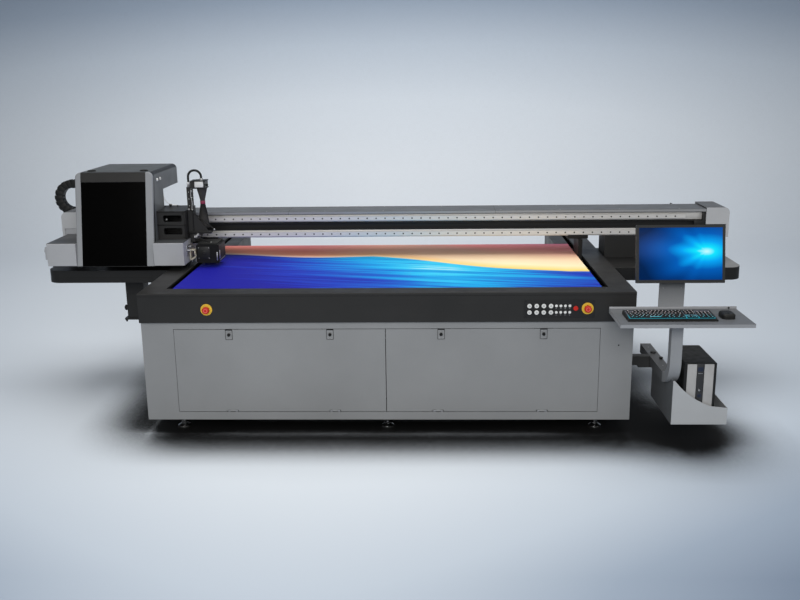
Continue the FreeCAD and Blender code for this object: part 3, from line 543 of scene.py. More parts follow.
def sweep():
    """The sheet itself: flat under the machine, then curved up to a wall behind it."""
    front, bend, radius, top, half, steps = -9.0, 4.5, 3.5, 9.0, 12.0, 12
    profile = [(front, 0.0), (-3.0, 0.0), (2.0, 0.0), (bend, 0.0)]
    for step in range(1, steps + 1):
        angle = math.pi / 2 * step / steps
        profile.append((bend + radius * math.sin(angle), radius * (1 - math.cos(angle))))
    profile.append((bend + radius, top))
    points = [(x, y, z) for y, z in profile for x in (-half, half)]
    faces = [(2 * i, 2 * i + 1, 2 * i + 3, 2 * i + 2) for i in range(len(profile) - 1)]
    mesh = bpy.data.meshes.new("sweep")
    mesh.from_pydata(points, [], faces)
    mesh.polygons.foreach_set("use_smooth", [True] * len(mesh.polygons))
    mesh.materials.append(sweep_paint())
    made = bpy.data.objects.new("sweep", mesh)
    bpy.context.scene.collection.objects.link(made)


def lights():
    world = bpy.data.worlds.new("studio")
    world.use_nodes = True
    back = world.node_tree.nodes["Background"]
    back.inputs[0].default_value = rgb(0xE9E9E8)
    back.inputs[1].default_value = 0.36
    bpy.context.scene.world = world
    warm = (1.0, 0.985, 0.96)
    area("top_softbox", (0.0, 0.6, 5.6), (0.0, 0.6, 0.0), (7.0, 4.5), 220.0, warm)
    area("front_softbox", (-0.6, -7.8, 3.9), (0.0, 0.0, 0.7), (6.0, 3.0), 362.0, warm)
    area("side_softbox", (6.0, -4.0, 3.0), (0.4, 0.2, 0.8), (2.5, 3.0), 50.0, warm)
    area("backdrop_glow", (0.0, 3.6, 4.8), (0.0, 8.0, 2.2), (8.0, 1.5), 90.0)
    bpy.context.scene.view_settings.view_transform = "Standard"


camera()
sweep()
lights()


# ---------------------------------------------------------------- building pieces

def circle(radius, count):
    """Points round a circle."""
    turns = [2 * math.pi * i / count for i in range(count)]
    return [(radius * math.cos(turn), radius * math.sin(turn)) for turn in turns]


def arc(cx, cy, r, start, end, steps):
    """Points on an arc, angles in degrees."""
    turns = [math.radians(start + (end - start) * i / steps) for i in range(steps + 1)]
    return [(cx + r * math.cos(t), cy + r * math.sin(t)) for t in turns]


def rounded_outline(x0, x1, y0, y1, r, steps=5):
    return (arc(x1 - r, y1 - r, r, 0, 90, steps) + arc(x0 + r, y1 - r, r, 90, 180, steps)
            + arc(x0 + r, y0 + r, r, 180, 270, steps) + arc(x1 - r, y0 + r, r, 270, 360, steps))


def bezier(points, steps):
    """A smooth run of points through the given ones (Catmull-Rom)."""
    points = [Vector(p) for p in points]
    ends = [points[0] * 2 - points[1]] + points + [points[-1] * 2 - points[-2]]
    run = []
    for a, b, c, d in zip(ends, ends[1:], ends[2:], ends[3:]):
        bend, turn = 2 * a - 5 * b + 4 * c - d, 3 * b - a - 3 * c + d
        for t in [i / steps for i in range(steps)]:
            run.append(0.5 * (2 * b + (c - a) * t + bend * t * t + turn * t ** 3))
    return run + [points[-1]]


def steps_of(start, end, pitch):
    count = int((end - start) / pitch) + 1
    return [start + pitch * i for i in range(count)]


def grid(*choices):
    """Every mix of one value from each list, as points."""
    return list(itertools.product(*choices))


class Piece:
    """One visual piece, built up in millimetres in the drawing's frame."""

    def __init__(self, name, body, slot, material=None):
        self.name, self.body, self.slot = name, body, slot
        self.mesh = bmesh.new()
        self.done_tag = self.mesh.faces.layers.int.new("done")
        self.materials = [material or FINISH[slot]]
        self.index = 0
        self.home = Matrix.Translation(ORIGIN) @ Matrix.Scale(MM, 4)
        self.place = Matrix.Identity(4)

    def paint(self, material):
        """The faces made from here on have this material, given itself or as the name of a slot."""
        self.settle()
        if isinstance(material, str):
            material = FINISH[material]
        if material not in self.materials:
            self.materials.append(material)
        self.index = self.materials.index(material)

    def settle(self):
        for face in self.mesh.faces:
            if not face[self.done_tag]:
                face[self.done_tag] = 1
                face.material_index = self.index

    def soften(self, edges, r, steps=2):
        edges = list(edges)
        bmesh.ops.bevel(self.mesh, geom=edges, offset=r * MM, segments=steps, profile=0.5, affect="EDGES")

    def block(self, x0, x1, y0, y1, z0, z1, r=0.0, steps=2):
        """A box with rounded edges, between two places on each axis, in either order."""
        size = Matrix.Diagonal((abs(x1 - x0), abs(y1 - y0), abs(z1 - z0), 1))
        middle = Matrix.Translation(((x0 + x1) / 2, (y0 + y1) / 2, (z0 + z1) / 2))
        made = bmesh.ops.create_cube(self.mesh, size=1.0, matrix=self.home @ self.place @ middle @ size)
        if r:
            self.soften({edge for vert in made["verts"] for edge in vert.link_edges}, r, steps)

    def ring(self, centre, side, up, outline):
        turn = self.home @ self.place
        return [self.mesh.verts.new(turn @ (centre + side * a + up * b)) for a, b in outline]

    def skin(self, rings, closed=False):
        """Faces between one ring of points and the next, with a cap at each end of an open run."""
        pairs = list(zip(rings, rings[1:]))
        if closed:
            pairs.append((rings[-1], rings[0]))
        for first, second in pairs:
            for i in range(len(first)):
                j = (i + 1) % len(first)
                self.mesh.faces.new((first[i], first[j], second[j], second[i]))
        if not closed:
            self.mesh.faces.new(list(reversed(rings[0])))
            self.mesh.faces.new(rings[-1])

    def stack(self, centre, axis, profile, count):
        """Rings about an axis, one for each (radius, distance along the axis)."""
        axis = Vector(axis).normalized()
        side = axis.orthogonal().normalized()
        up = axis.cross(side)
        return [self.ring(Vector(centre) + axis * far, side, up, circle(max(r, 0.01), count))
                for r, far in profile]

    def turned(self, centre, axis, profile, count=20):
        """A shape turned about an axis, from its base to its tip."""
        self.skin(self.stack(centre, axis, profile, count))

    def washer(self, centre, axis, inner, outer, height, count=28):
        """A raised ring with a rounded outer rim."""
        profile = [(inner, 0), (outer, 0), (outer, height * 0.6), (outer - height * 0.4, height),
                   (inner, height)]
        self.skin(self.stack(centre, axis, profile, count), closed=True)

    def tube(self, points, radius, count=10):
        """A round tube along points; radius is a number or one for each point."""
        points = [Vector(p) for p in points]
        radii = radius if isinstance(radius, list) else [radius] * len(points)
        rings, side = [], None
        for i, point in enumerate(points):
            before, after = points[max(i - 1, 0)], points[min(i + 1, len(points) - 1)]
            way = (after - before).normalized()
            side = way.orthogonal() if side is None else side - way * side.dot(way)
            side.normalize()
            rings.append(self.ring(point, side, way.cross(side), circle(radii[i], count)))
        self.skin(rings)

    def prism(self, outline, plane, low, high, r=0.0):
        """An outline in a plane, such as "XZ", given depth from low to high along the third axis."""
        axes = ["XYZ".index(plane[0]), "XYZ".index(plane[1])]
        third = 3 - sum(axes)
        rings = []
        for far in (low, high):
            ring = []
            for a, b in outline:
                point = Vector((0, 0, 0))
                point[axes[0]], point[axes[1]], point[third] = a, b, far
                ring.append(self.mesh.verts.new(self.home @ self.place @ point))
            rings.append(ring)
        self.skin(rings)
        if r:
            self.soften({e for ring in rings for v in ring for e in v.link_edges
                         if e.other_vert(v) in ring}, r)

    def cap_screws(self, spots, axis, r=5.0):
        """Socket head screws: domed rim, dark socket."""
        head = [(r, 0), (r, r * 0.32), (r * 0.86, r * 0.5), (r * 0.5, r * 0.56), (r * 0.46, r * 0.2),
                (0, r * 0.2)]
        for spot in spots:
            self.turned(spot, axis, head, 12)

    def finish(self):
        self.settle()
        bmesh.ops.recalc_face_normals(self.mesh, faces=self.mesh.faces)
        data = bpy.data.meshes.new(self.name)
        self.mesh.faces.layers.int.remove(self.mesh.faces.layers.int["done"])
        self.mesh.to_mesh(data)
        self.mesh.free()
        data.polygons.foreach_set("use_smooth", [True] * len(data.polygons))
        data.set_sharp_from_angle(angle=SHARP_ANGLE)
        for material in self.materials:
            data.materials.append(material)
        made = bpy.data.objects.new(self.name, data)
        bpy.context.scene.collection.objects.link(made)
        if self.body:
            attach(made, self.body)
        return made


# ---------------------------------------------------------------- gantry

def rail_fittings():
    low, high = node_box("x_rails")
    beam_low, beam_high = node_box("beam_cover")
    seats = Piece("rail_seat_faces", "gantry", "aluminium", RAIL_SILVER)
    holes = Piece("rail_plugs", "gantry", "black_plastic", HOLE)
    for z in RAIL_Z:
        seats.block(beam_low.x + 6, beam_high.x - 6, high.y - 1.2, high.y + 0.4, z - 24, z + 24, 0.5)
        for x in steps_of(low.x + 22, high.x - 20, HOLE_PITCH):
            holes.turned((x, low.y + 0.1, z), FRONT, RAIL_PLUG, 12)
    low, high = node_box("y_rails")
    fixed = Piece("y_rail_plugs", "base", "black_plastic", HOLE)
    for side in (-1, 1):
        for y in steps_of(low.y + 30, high.y - 20, HOLE_PITCH):
            fixed.turned((side * Y_RAIL_X, y, high.z - 0.1), UP, RAIL_PLUG, 12)
    seats.finish()
    holes.finish()
    fixed.finish()
    guard = Piece("belt_guard", "gantry", "black_plastic")
    guard.block(2000, 2062, 1057, 1062, 1029, 1079, 2)
    guard.cap_screws(grid((2010, 2052), (1057.2,), (1054,)), FRONT, 3)
    guard.finish()


def cap_fittings():
    low, high = node_box("beam_end_caps")
    beam_top = node_box("beam_cover")[0].z
    tray_top = node_box("service_trays")[1].z
    trim = Piece("end_cap_trim", "gantry", "black_plastic")
    screws = Piece("end_cap_screws", "gantry", "steel")
    for side in (-1, 1):
        trim.block(side * 2056, side * 2078.5, low.y + 4, high.y - 20, 974, beam_top + 2.5, 1.5)
        trim.block(side * 2075.2, side * 2078.2, low.y + 1, high.y - 20, beam_top + 2.5, high.z - 2, 1)
        trim.block(side * 2175, side * 2228, 1120, 1290, tray_top, low.z + 1, 3)
        screws.cap_screws(grid((side * (high.x - 0.4),), (1100, 1300), (1000, 1130)), (side, 0, 0), 5)
        screws.cap_screws(grid((side * 2085, side * 2160), (low.y + 0.3,), (985,)), FRONT, 4)
    trim.paint("light_grey")
    trim.block(-2211.5, -2079, 1062, 1322, 880, 1051.5, 2)
    trim.finish()
    screws.finish()


def cover_fittings():
    low, high = node_box("beam_cover")
    screws = Piece("cover_screws", "gantry", "steel")
    places = steps_of(low.x + 60, high.x - 50, 392)
    screws.cap_screws(grid(places, (high.y - 24, low.y + 24), (high.z - 0.2,)), UP, 4.5)
    screws.finish()
    lines = Piece("cover_joints", "gantry", "black_plastic", HOLE)
    for x in (-690, 690):
        lines.block(x - 0.8, x + 0.8, low.y + 0.5, high.y - 0.5, high.z - 0.4, high.z + 0.15)
        lines.block(x - 0.8, x + 0.8, low.y - 0.15, low.y + 0.4, low.z, high.z - 0.5)
    lines.finish()


def tray_fittings():
    low, high = node_box("service_trays")
    lines = Piece("tray_joints", "gantry", "black_plastic", HOLE)
    screws = Piece("tray_screws", "gantry", "steel")
    joint = 1546
    for side in (-1, 1):
        lines.block(side * joint - 0.8, side * joint + 0.8, low.y - 0.12, low.y + 0.5, low.z + 4, high.z - 4)
        lines.block(side * joint, side * 2120, low.y - 0.12, low.y + 0.5, low.z + 34, low.z + 35.4)
        places = [side * x for x in (1470, 1620, 1800, 1980)]
        screws.cap_screws(grid(places, (high.y - 0.2,), (low.z + 46,)), REAR, 4)
    lines.finish()
    screws.finish()
    leg = Piece("leg_fittings", "gantry", "black_plastic")
    foot = node_box("tray_supports")[0].z
    leg.turned((-1833, 1060, 500), LEFT, [(17, 0), (19, 2), (19, 9), (16, 12), (9, 13), (8.5, 16)], 24)
    for x, y in grid((-1825, -1685), (1010, 1130)):
        leg.turned((x, y, foot), DOWN, [(9, 0), (9, 6), (6, 7), (6, 14)], 6)
    for z in (520, 610, 700):
        leg.block(-1816, -1694, 1008.9, 1010.2, z, z + 1.2)
    leg.finish()


# ---------------------------------------------------------------- energy chain

def chain_link(piece, half, wide, tall):
    """One link of the energy chain about its own middle: two eared side plates, a lid and a floor."""
    for side in (-1, 1):
        face = side * wide / 2
        piece.block(-half + 1.5, half - 7, face, face - side * 5, -tall / 2, tall / 2, 1.6)
        piece.block(half - 14, half + 6, face - side * 5.2, face - side * 9, -tall / 2 + 3, tall / 2 - 3, 1.6)
        piece.turned((-half + 13, face - side * 0.2, 0), (0, side, 0), LINK_PIN, 14)
    for face in (-tall / 2, tall / 2 - 4):
        piece.block(-half + 5, half - 11, -wide / 2 + 4, wide / 2 - 4, face, face + 4, 1.2)


def lower_run():
    """The chain's run in its trough: it joins the gantry at its right end to the loop at its left."""
    low, high = node_box("chain_lower_run")
    wide, y, z = high.y - low.y, (low.y + high.y) / 2, low.z + RUN_TALL / 2
    run = Piece("chain_run_links", None, "black_plastic")
    count = int((high.x - low.x) / LINK_PITCH)
    for i in range(count):
        run.place = Matrix.Translation((low.x + (high.x - low.x) * (i + 0.5) / count, y, z))
        chain_link(run, LINK_PITCH / 2, wide, RUN_TALL)
    made = run.finish()
    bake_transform(made)
    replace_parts(made, "chain_lower_run")


def chain_bend():
    """The loop and the upper run, which the carriage carries on a bracket."""
    low, high = node_box("chain_lower_run")
    loop_low, loop_high = node_box("chain_loop")
    wide, y = high.y - low.y, (low.y + high.y) / 2
    middle, tall = (LOOP_OUT + LOOP_IN) / 2, LOOP_OUT - LOOP_IN - 2
    loop = Piece("chain_loop_links", "carriage", "black_plastic")
    centre = Vector((loop_low.x + LOOP_OUT, y, low.z + LOOP_OUT))
    for i in range(LOOP_LINKS):
        angle = math.pi / 2 + math.pi * (i + 0.5) / LOOP_LINKS
        spot = centre + Vector((math.cos(angle) * middle, 0, math.sin(angle) * middle))
        loop.place = Matrix.Translation(spot) @ Matrix.Rotation(-(angle + math.pi / 2), 4, "Y")
        chain_link(loop, middle * math.sin(math.pi / LOOP_LINKS / 2) * 1.06, wide, tall)
    length = UPPER_END - centre.x
    count = max(1, round(length / LINK_PITCH))
    for i in range(count):
        x = centre.x + length * (i + 0.5) / count
        loop.place = Matrix.Translation((x, y, loop_high.z - (LOOP_OUT - LOOP_IN) / 2))
        chain_link(loop, length / count / 2, wide, tall)
    loop.place = Matrix.Identity(4)
    loop.paint("dark_frame")
    loop.block(UPPER_END - 60, UPPER_END, 1190, 1345, 1328.2, 1332, 0.8)
    loop.block(UPPER_END - 60, UPPER_END, 1341, 1345, 1290, 1330, 0.8)
    loop.cap_screws(grid((UPPER_END - 30,), (1230, 1300), (1328.4,)), DOWN, 5)
    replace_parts(loop.finish(), "chain_loop")


def chain_anchor():
    """The angle that holds the lower run's end to the beam."""
    low, high = node_box("chain_lower_run")
    anchor = Piece("chain_anchor", "gantry", "dark_frame")
    anchor.block(high.x - 2, high.x + 30, low.y + 2, high.y - 2, low.z - 2, low.z + 4, 1)
    anchor.block(high.x + 24, high.x + 30, low.y + 2, high.y - 2, low.z, high.z - 6, 1)
    anchor.finish()


# ---------------------------------------------------------------- carriage

def hood_face(z):
    """How far forward the hood's leaning front stands at a height."""
    low = node_box("carriage_hood")[0]
    return low.y + HOOD_LEAN * (z - low.z)


def hood_fittings():
    low, high = node_box("carriage_hood")
    grips = Piece("hood_hand_holes", "carriage", "black_plastic", HOLE)
    for x in (low.x + 77, high.x - 80):
        spot = (x, hood_face(high.z) + 90, high.z - 0.6)
        grips.turned(spot, UP, [(26, 0), (26, 4.5), (24, 6), (21, 6.2), (20, 3), (0, 3)], 32)
    grips.finish()
    plugs = Piece("hood_connectors", "carriage", "white_plastic")
    socket = [(11, 0), (11, 2.5), (9.5, 3.2), (8, 3.2), (8, 8), (6, 8.5), (5.6, 4), (0, 4)]
    for y in (802, 866):
        plugs.turned((high.x - 0.3, y, high.z - 56), RIGHT, socket, 24)
        plugs.cap_screws([(high.x + 2, y + 8, high.z - 48)], RIGHT, 1.6)
    plugs.finish()
    hood_base(low, high)
    screws = Piece("hood_screws", "carriage", "steel")
    for z in (930, 1120, 1290, 1430):
        screws.cap_screws([(low.x + 0.2, hood_face(z) + 70, z), (low.x + 0.2, HOOD_WAIST - 24, z)], LEFT, 4)
    places = (low.x + 60, (low.x + high.x) / 2, high.x - 60)
    screws.cap_screws(grid(places, (high.y - 0.2,), (1400,)), REAR, 5)
    screws.cap_screws([(-2172, 660.2, 985)], FRONT, 4)
    screws.finish()
    vent = Piece("hood_rear_vents", "carriage", "dark_frame", HOLE)
    for x, z in grid([low.x + 60 + i * 60 for i in range(7)], (1245, 1270)):
        vent.prism(rounded_outline(x, x + 44, z, z + 8, 3.9), "XZ", HOOD_WAIST - 0.4, HOOD_WAIST + 0.3)
    vent.finish()


def hood_base(low, high):
    """The plate under the hood and the skirt, in strips that leave the print heads free."""
    base = Piece("hood_base_plate", "carriage", "black_plastic")
    left, right = -2140, -1312
    base.block(left, right, low.y + 22, 655, 877, 884.2, 1)
    base.block(left, right, 825, 965, 877, 884.2, 1)
    for a, b in ((left, -1912), (-1848, -1812), (-1748, -1712), (-1648, -1612), (-1548, right)):
        base.block(a, b, 654, 826, 877.5, 883.8, 0.6)
    base.block(low.x + 2, high.x - 2, low.y + 4, low.y + 30, 879, 884.2, 0.8)
    base.finish()


def plate_fittings():
    """On the slotted bracket beside the hood: folded rims, screws, a stud and a thin sensor wire."""
    left, right, top = node_box("carriage_hood")[1].x, PLATE_EDGE, PLATE_TOP
    wire = Piece("sensor_wire", "carriage", "white_plastic")
    route = [(left - 4, 927, 1296), (left + 4, 930, 1264), (left + 18, 938, 1240), (left + 44, 948, 1226),
             (left + 76, 956, 1219)]
    wire.tube(bezier(route, 8), 2.0, 8)
    wire.paint("black_plastic")
    wire.turned((left + 34, 950, top - 0.4), UP, [(7, 0), (7, 5), (10, 7), (10, 15), (7, 18), (0, 18.5)], 18)
    wire.turned((left + 78, 956, top - 0.4), UP, [(6, 0), (6, 8), (4, 9), (0, 9)], 16)
    wire.paint("steel")
    wire.turned((left + 52, 781, 1155), FRONT, [(6, 0), (6, 9), (4.5, 10.5), (0, 10.5)], 20)
    wire.finish()
    rim = Piece("bracket_rim", "carriage", "dark_frame")
    front, back = 737.5, 740.2
    rim.block(left + 1, right - 1, front, back, top - 8, top - 0.5, 1)
    rim.block(left + 1, right - 1, front, back, 1119, 1128, 1)
    rim.block(right - 10, right - 0.5, front, back, 1032, top - 1, 1)
    spots = grid((right - 18,), (739.8,), (1196, 1124, 1044))
    rim.cap_screws(spots + [(left + 14, 739.8, 1124)], FRONT, 4)
    rim.finish()


def hose():
    """The corrugated hose from the mast's foot over a bend to the junction box."""
    x, y = HOSE_FOOT
    reach = HOSE_SPAN / 2
    route = [(x, y, 1372 + 4 * i) for i in range(12)]
    route += [(x + reach + r, y, z) for r, z in arc(0, 1420, reach, 180, 0, 44)][1:-1]
    route += [(x + HOSE_SPAN, y, 1420 - 4 * i) for i in range(6)]
    made = Piece("lamp_hose_corrugated", "carriage", "black_plastic")
    dense = []
    for a, b in zip(route, route[1:]):
        dense += [Vector(a), (Vector(a) + Vector(b)) / 2]
    made.tube(dense, [7.9 if i % 2 else 6.4 for i in range(len(dense))], 14)
    made.paint("steel")
    for spot, sides in (((x, y, 1356), 6), ((x + HOSE_SPAN, y, 1396), 18)):
        made.turned(spot, UP, [(12, 0), (12, 5), (10, 6), (10, 14), (8.6, 17)], sides)
    made.paint("white_plastic")
    made.turned((x - 1, y - 1, 1374), UP, [(9, 0), (9.6, 2), (9.6, 12), (8.6, 14)], 16)
    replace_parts(made.finish(), "lamp_hose")


def wires():
    """Thirty wires in a braided sleeve, gathered at the waist by a band of shrink tube."""
    x, y = WIRES
    sleeve = Piece("lamp_wire_sleeve", "carriage", "black_plastic", braid())
    sleeve.turned((x, y, 1262), UP, [(15, 0), (17, 14), (22, 36), (29, 62), (33, 80), (33.5, 87.5)], 40)
    sleeve.turned((x, y, 1092), UP, [(33, 0), (34.5, 10), (29, 60), (21, 112), (13, 156)], 40)
    sleeve.paint("black_plastic")
    for i, (c, s) in enumerate(circle(1.0, 30)):
        foot = 37.5 + (i % 3) * 0.8
        run = ((foot, 1091), (foot - 4, 1108), (foot * 0.62, 1190), (13.5, 1248))
        sleeve.tube([(x + c * r, y + s * r, z) for r, z in run], 1.5, 6)
    sleeve.paint(moulded("heat_shrink", 0x8E3850, 0.4))
    sleeve.turned((x, y, 1243), UP, [(15.5, 0), (16.6, 1.5), (16.2, 10), (16.8, 18), (15.6, 21)], 28)
    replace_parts(sleeve.finish(), "lamp_hose")


def braid():
    """Expandable braided sleeve: two sets of crossing bands."""
    net = Net("braided_sleeve")
    centre = at(WIRES[0], WIRES[1], 0)
    across, back = net.minus(net.along("X"), centre.x), net.minus(net.along("Y"), centre.y)
    turn = net.math("ARCTAN2", back, across)
    turn, climb = net.times(turn, 20.0), net.times(net.along("Z"), 900.0)
    bands = [net.math("SINE", net.math(way, turn, climb)) for way in ("ADD", "SUBTRACT")]
    weave = net.math("MAXIMUM", *bands)
    # painted shade: near black in the gaps between the bands
    colour = net.mix(net.spread(weave, 0, 1, -0.4, 1.0), rgb(0x0D0D0D), rgb(0x4A4744))
    return net.surface(colour, net.spread(net.noise(40.0, 3.0), 0.5, 0.7), net.bump(weave, 0.0012, 0.8))


def junction_box():
    bits = Piece("lamp_box_face", "carriage", "aluminium", FINISH["white_plastic"])
    bits.block(-1241, -1185, 794.8, 796.4, 1355, 1391, 1)
    bits.paint("steel")
    bits.cap_screws(grid((-1237, -1189), (795,), (1387, 1359)), FRONT, 1.8)
    bits.paint("black_plastic")
    bits.block(-1252, -1172, 793, 887, 1391.5, 1397.5, 1.2)
    bits.block(-1262, -1170, 794, 886, 1346, 1351, 1.2)
    bits.turned((-1175, 840, 1366), RIGHT, [(8, 0), (8, 3), (6, 4), (6, 10), (0, 10)], 16)
    bits.finish()


def mast_track():
    """The cable track up the mast, with its ties and one thin wire in front."""
    mast = Piece("mast_cable_track", "carriage", "black_plastic")
    mast.block(-1266, -1258, 802, 818, 1076, 1348, 1)
    for z in [1084 + i * 20.5 for i in range(13)]:
        mast.block(-1271, -1257, 803, 817, z, z + 9, 1.2)
    mast.paint("steel")
    mast.cap_screws([(-1283, 800.2, 1105 + i * 44) for i in range(6)], FRONT, 3)
    mast.paint("white_plastic")
    for z in (1330, 1288, 1210, 1150):
        mast.block(-1272, -1262, 799.5, 803.5, z, z + 4, 0.8)
    route = [(-1267, 800, 1340), (-1270, 798.5, 1300), (-1264, 798.6, 1255), (-1270, 798.5, 1200),
             (-1266, 799, 1160)]
    mast.tube(bezier(route, 6), 1.3, 6)
    mast.finish()


def lamp_braces():
    rods = Piece("lamp_braces", "carriage", "dark_frame")
    rods.tube([(-1284, 786, 1216), (-1128, 786, 1086)], 3.4, 10)
    rods.tube([(-1242, 768, 1040), (-1150, 768, 1004)], 3.4, 10)
    rods.tube([(-1262, 786, 1078), (-1262, 786, 1210)], 3.0, 10)
    rods.block(-1298, -1146, 777, 782, 1060, 1074, 1)
    rods.paint("steel")
    ends = [(-1284, 784, 1216), (-1128, 784, 1086), (-1242, 765, 1040), (-1150, 765, 1004)]
    rods.cap_screws(ends, FRONT, 6)
    rods.paint("aluminium")
    rods.place = Matrix.Translation((-1258, 782, 1036)) @ Matrix.Rotation(math.radians(-32), 4, "Y")
    handle = [(9, 0), (13, 2), (13, 8), (11.5, 9), (11.5, 26), (13, 27), (13, 34), (9, 37), (0, 37)]
    rods.turned((0, 0, 0), RIGHT, handle, 24)
    rods.finish()


def lamp_trim():
    right = node_box("uv_lamp")[1].x
    lamp = Piece("lamp_trim", "carriage", "aluminium")
    lamp.block(right - 16, right - 10, 718.6, 720.6, 896, 950, 0.8)
    lamp.block(right - 0.6, right + 1.5, 728, 746, 905, 960, 0.8)
    lamp.block(right - 0.6, right + 0.9, 735, 885, 892, 897, 0.4)
    lamp.paint("black_plastic")
    for y in [734 + i * 9.2 for i in range(17)]:
        lamp.block(-1228, -1102, y, y + 2.4, 997, 1006, 0.5)
    lamp.block(-1228, -1150, 716.5, 720.4, 905, 985, 2)
    lamp.turned((-1188, 718, 946), FRONT, [(16, 0), (16, 2), (14.5, 3), (6, 3), (5, 2), (0, 2)], 24)
    lamp.paint("steel")
    lamp.cap_screws(grid((-1222, -1156), (716.6,), (912, 978)), FRONT, 2.6)
    lamp.finish()


def skirt_end():
    """Between the skirt and the lamp: a cream bracket with two studs, and a plate with two plugs."""
    clip = Piece("lamp_cream_bracket", "carriage", "white_plastic", moulded("cream_plastic", 0xC9C4B2, 0.42))
    clip.block(-1287.5, -1280, 742, 780, 900, 962, 1.2)
    clip.block(-1287.5, -1250, 742, 780, 955, 962, 1.2)
    clip.block(-1257, -1250, 742, 780, 928, 962, 1.2)
    hook = [(-1287, 892), (-1262, 900), (-1243, 922), (-1243, 930), (-1264, 910), (-1287, 902)]
    clip.prism(hook, "XZ", 744, 778, 0.8)
    clip.paint("steel")
    for x, reach in ((-1274, 18), (-1250, 26)):
        clip.turned((x, 750, 884), UP, [(5, 0), (5, 6), (3, 7), (3, reach)], 12)
    clip.cap_screws([(-1268, 742.2, 958)], FRONT, 2.4)
    clip.finish()
    side = Piece("skirt_end_fittings", "carriage", "aluminium")
    side.block(-1289.7, -1286, 680, 760, 930, 1000, 1)
    side.turned((-1286.4, 700, 965), RIGHT, [(8, 0), (8, 8), (5, 9), (5, 16), (0, 16)], 16)
    side.turned((-1286.4, 735, 985), RIGHT, [(5, 0), (5, 12), (0, 12)], 12)
    side.finish()


# ---------------------------------------------------------------- table and cabinet

def control_fittings():
    """Round the buttons, stops and lamps on the fascia: bezels, rings, marks and panel screws."""
    low, high = node_box("control_panel")
    bezels = Piece("button_bezels", "base", "black_plastic")
    marks = Piece("lamp_label_plates", "base", "light_grey")
    screws = Piece("panel_screws", "base", "black_plastic")
    for name in ["button_%d" % i for i in range(1, 9)]:
        mark = Piece(name + "_mark", name, "light_grey")
        mark.washer(front_middle(name, 0.1), FRONT, 2.4, 5.4, 0.35, 20)
        mark.finish()
        bezels.washer(over_panel(name), FRONT, 12.9, 16, 3)
    bezels.washer(over_panel("button_red"), FRONT, 14, 17, 3)
    for name in ("estop_left", "estop_right"):
        rim = Piece(name + "_ring", name, "red_plastic", SOFT_RED)
        rim.washer(front_middle(name, 0.1), FRONT, 7.5, 12.5, 0.5)
        rim.finish()
    for x, z in grid(LAMP_X, LAMP_ROWS):
        bezels.washer((x, low.y, z), FRONT, 8.2, 10, 2, 20)
        marks.block(x - 3.5, x + 3.5, low.y - 0.35, low.y + 0.2, z - 17, z - 15, 0.15)
    places = grid((low.x + 8, (low.x + high.x) / 2, high.x - 8), (low.y + 0.1,), (low.z + 7, high.z - 7))
    screws.cap_screws(places, FRONT, 3.4)
    bezels.finish()
    marks.finish()
    screws.finish()


def over_panel(name):
    """The place on the control panel's face in front of a button."""
    spot = front_middle(name)
    spot.y = node_box("control_panel")[0].y
    return spot


def surround_trim():
    """A painted shadow line under the fold round the table's black surround, and lids on its two channels'
    rear ends.
    """
    low, high = node_box("table_surround")
    trim = Piece("fascia_shadow_lines", "base", "black_plastic", HOLE)
    # heights of the painted shadow line under the fold's overhang
    shadow_line_low, shadow_line_high = 832.5, 834.5
    trim.block(low.x + 1, high.x - 1, -0.25, 0.4, shadow_line_low, shadow_line_high)
    for side in (-1, 1):
        trim.block(side * (high.x + 0.2), side * (high.x - 0.4), 1, high.y - 5, shadow_line_low, shadow_line_high)
    for side in (-1, 1):
        trim.block(side * 1146.4, side * 1231.6, high.y - 6, high.y - 0.6, 745.4, 843.6, 1.5)
    trim.finish()


def latch_fittings():
    """On each latch plate: four screws and a raised rim."""
    for side, door, name in ((-1, "door_left", "latch_plates_left"), (1, "door_right", "latch_plates_right")):
        low, high = node_box(name)
        screws = Piece(name + "_screws", door, "steel")
        for x in [side * place for place in LATCH_X]:
            screws.cap_screws(grid((x - 9, x + 9), (low.y + 0.1,), (low.z + 6, high.z - 6)), FRONT, 1.9)
        screws.paint(LATCH_BLACK)
        for x in [side * place for place in LATCH_X]:
            screws.block(x - 19.6, x + 19.6, low.y - 1.2, high.y, high.z - 3, high.z + 4, 0.6)
            for edge in (x - 19.4, x + 19.4):
                screws.block(edge - 1.1, edge + 1.1, low.y - 0.6, high.y, low.z, high.z, 0.4)
            screws.block(x - 19.6, x + 19.6, low.y - 0.6, high.y, low.z - 1.2, low.z + 1, 0.4)
        screws.finish()


def wall_fittings():
    """A key hole beside the right door, and the screws and joints of the cabinet's walls."""
    low, high = node_box("cabinet_panels")
    lock = Piece("cabinet_key_hole", "base", "black_plastic", HOLE)
    lock.turned((1323, 18.2, 535), FRONT, [(4.5, 0), (4.5, 0.6), (3.4, 0.8), (2.4, 0.3), (0, 0.3)], 18)
    lock.finish()
    screws = Piece("latch_plate_screws", "base", "steel")
    for side in (-1, 1):
        places = grid((side * (high.x - 0.2),), (60, 690, 1320, 1940), (110, 380, 655))
        screws.cap_screws(places, (side, 0, 0), 5)
    screws.cap_screws(grid(steps_of(-1350, 1350, 540), (high.y - 0.2,), (110, 655)), REAR, 5)
    screws.finish()
    seams = Piece("cabinet_joints", "base", "black_plastic", HOLE)
    bottom, top = low.z + 6, 674
    for side, y in grid((-1, 1), (660, 1310)):
        seams.block(side * (high.x + 0.3), side * (high.x - 0.2), y - 1, y + 1, bottom, top)
    for x in (-460, 460):
        seams.block(x - 1, x + 1, high.y - 0.3, high.y + 0.3, bottom, top)
    seams.finish()


def blade(face, reach, z, side=1):
    """A louvre blade's section, sloping out from a wall."""
    inner, outer = side * (face - 0.4), side * (face + reach)
    return [(inner, z), (outer, z + 3), (outer, z + 5), (inner, z + 15)]


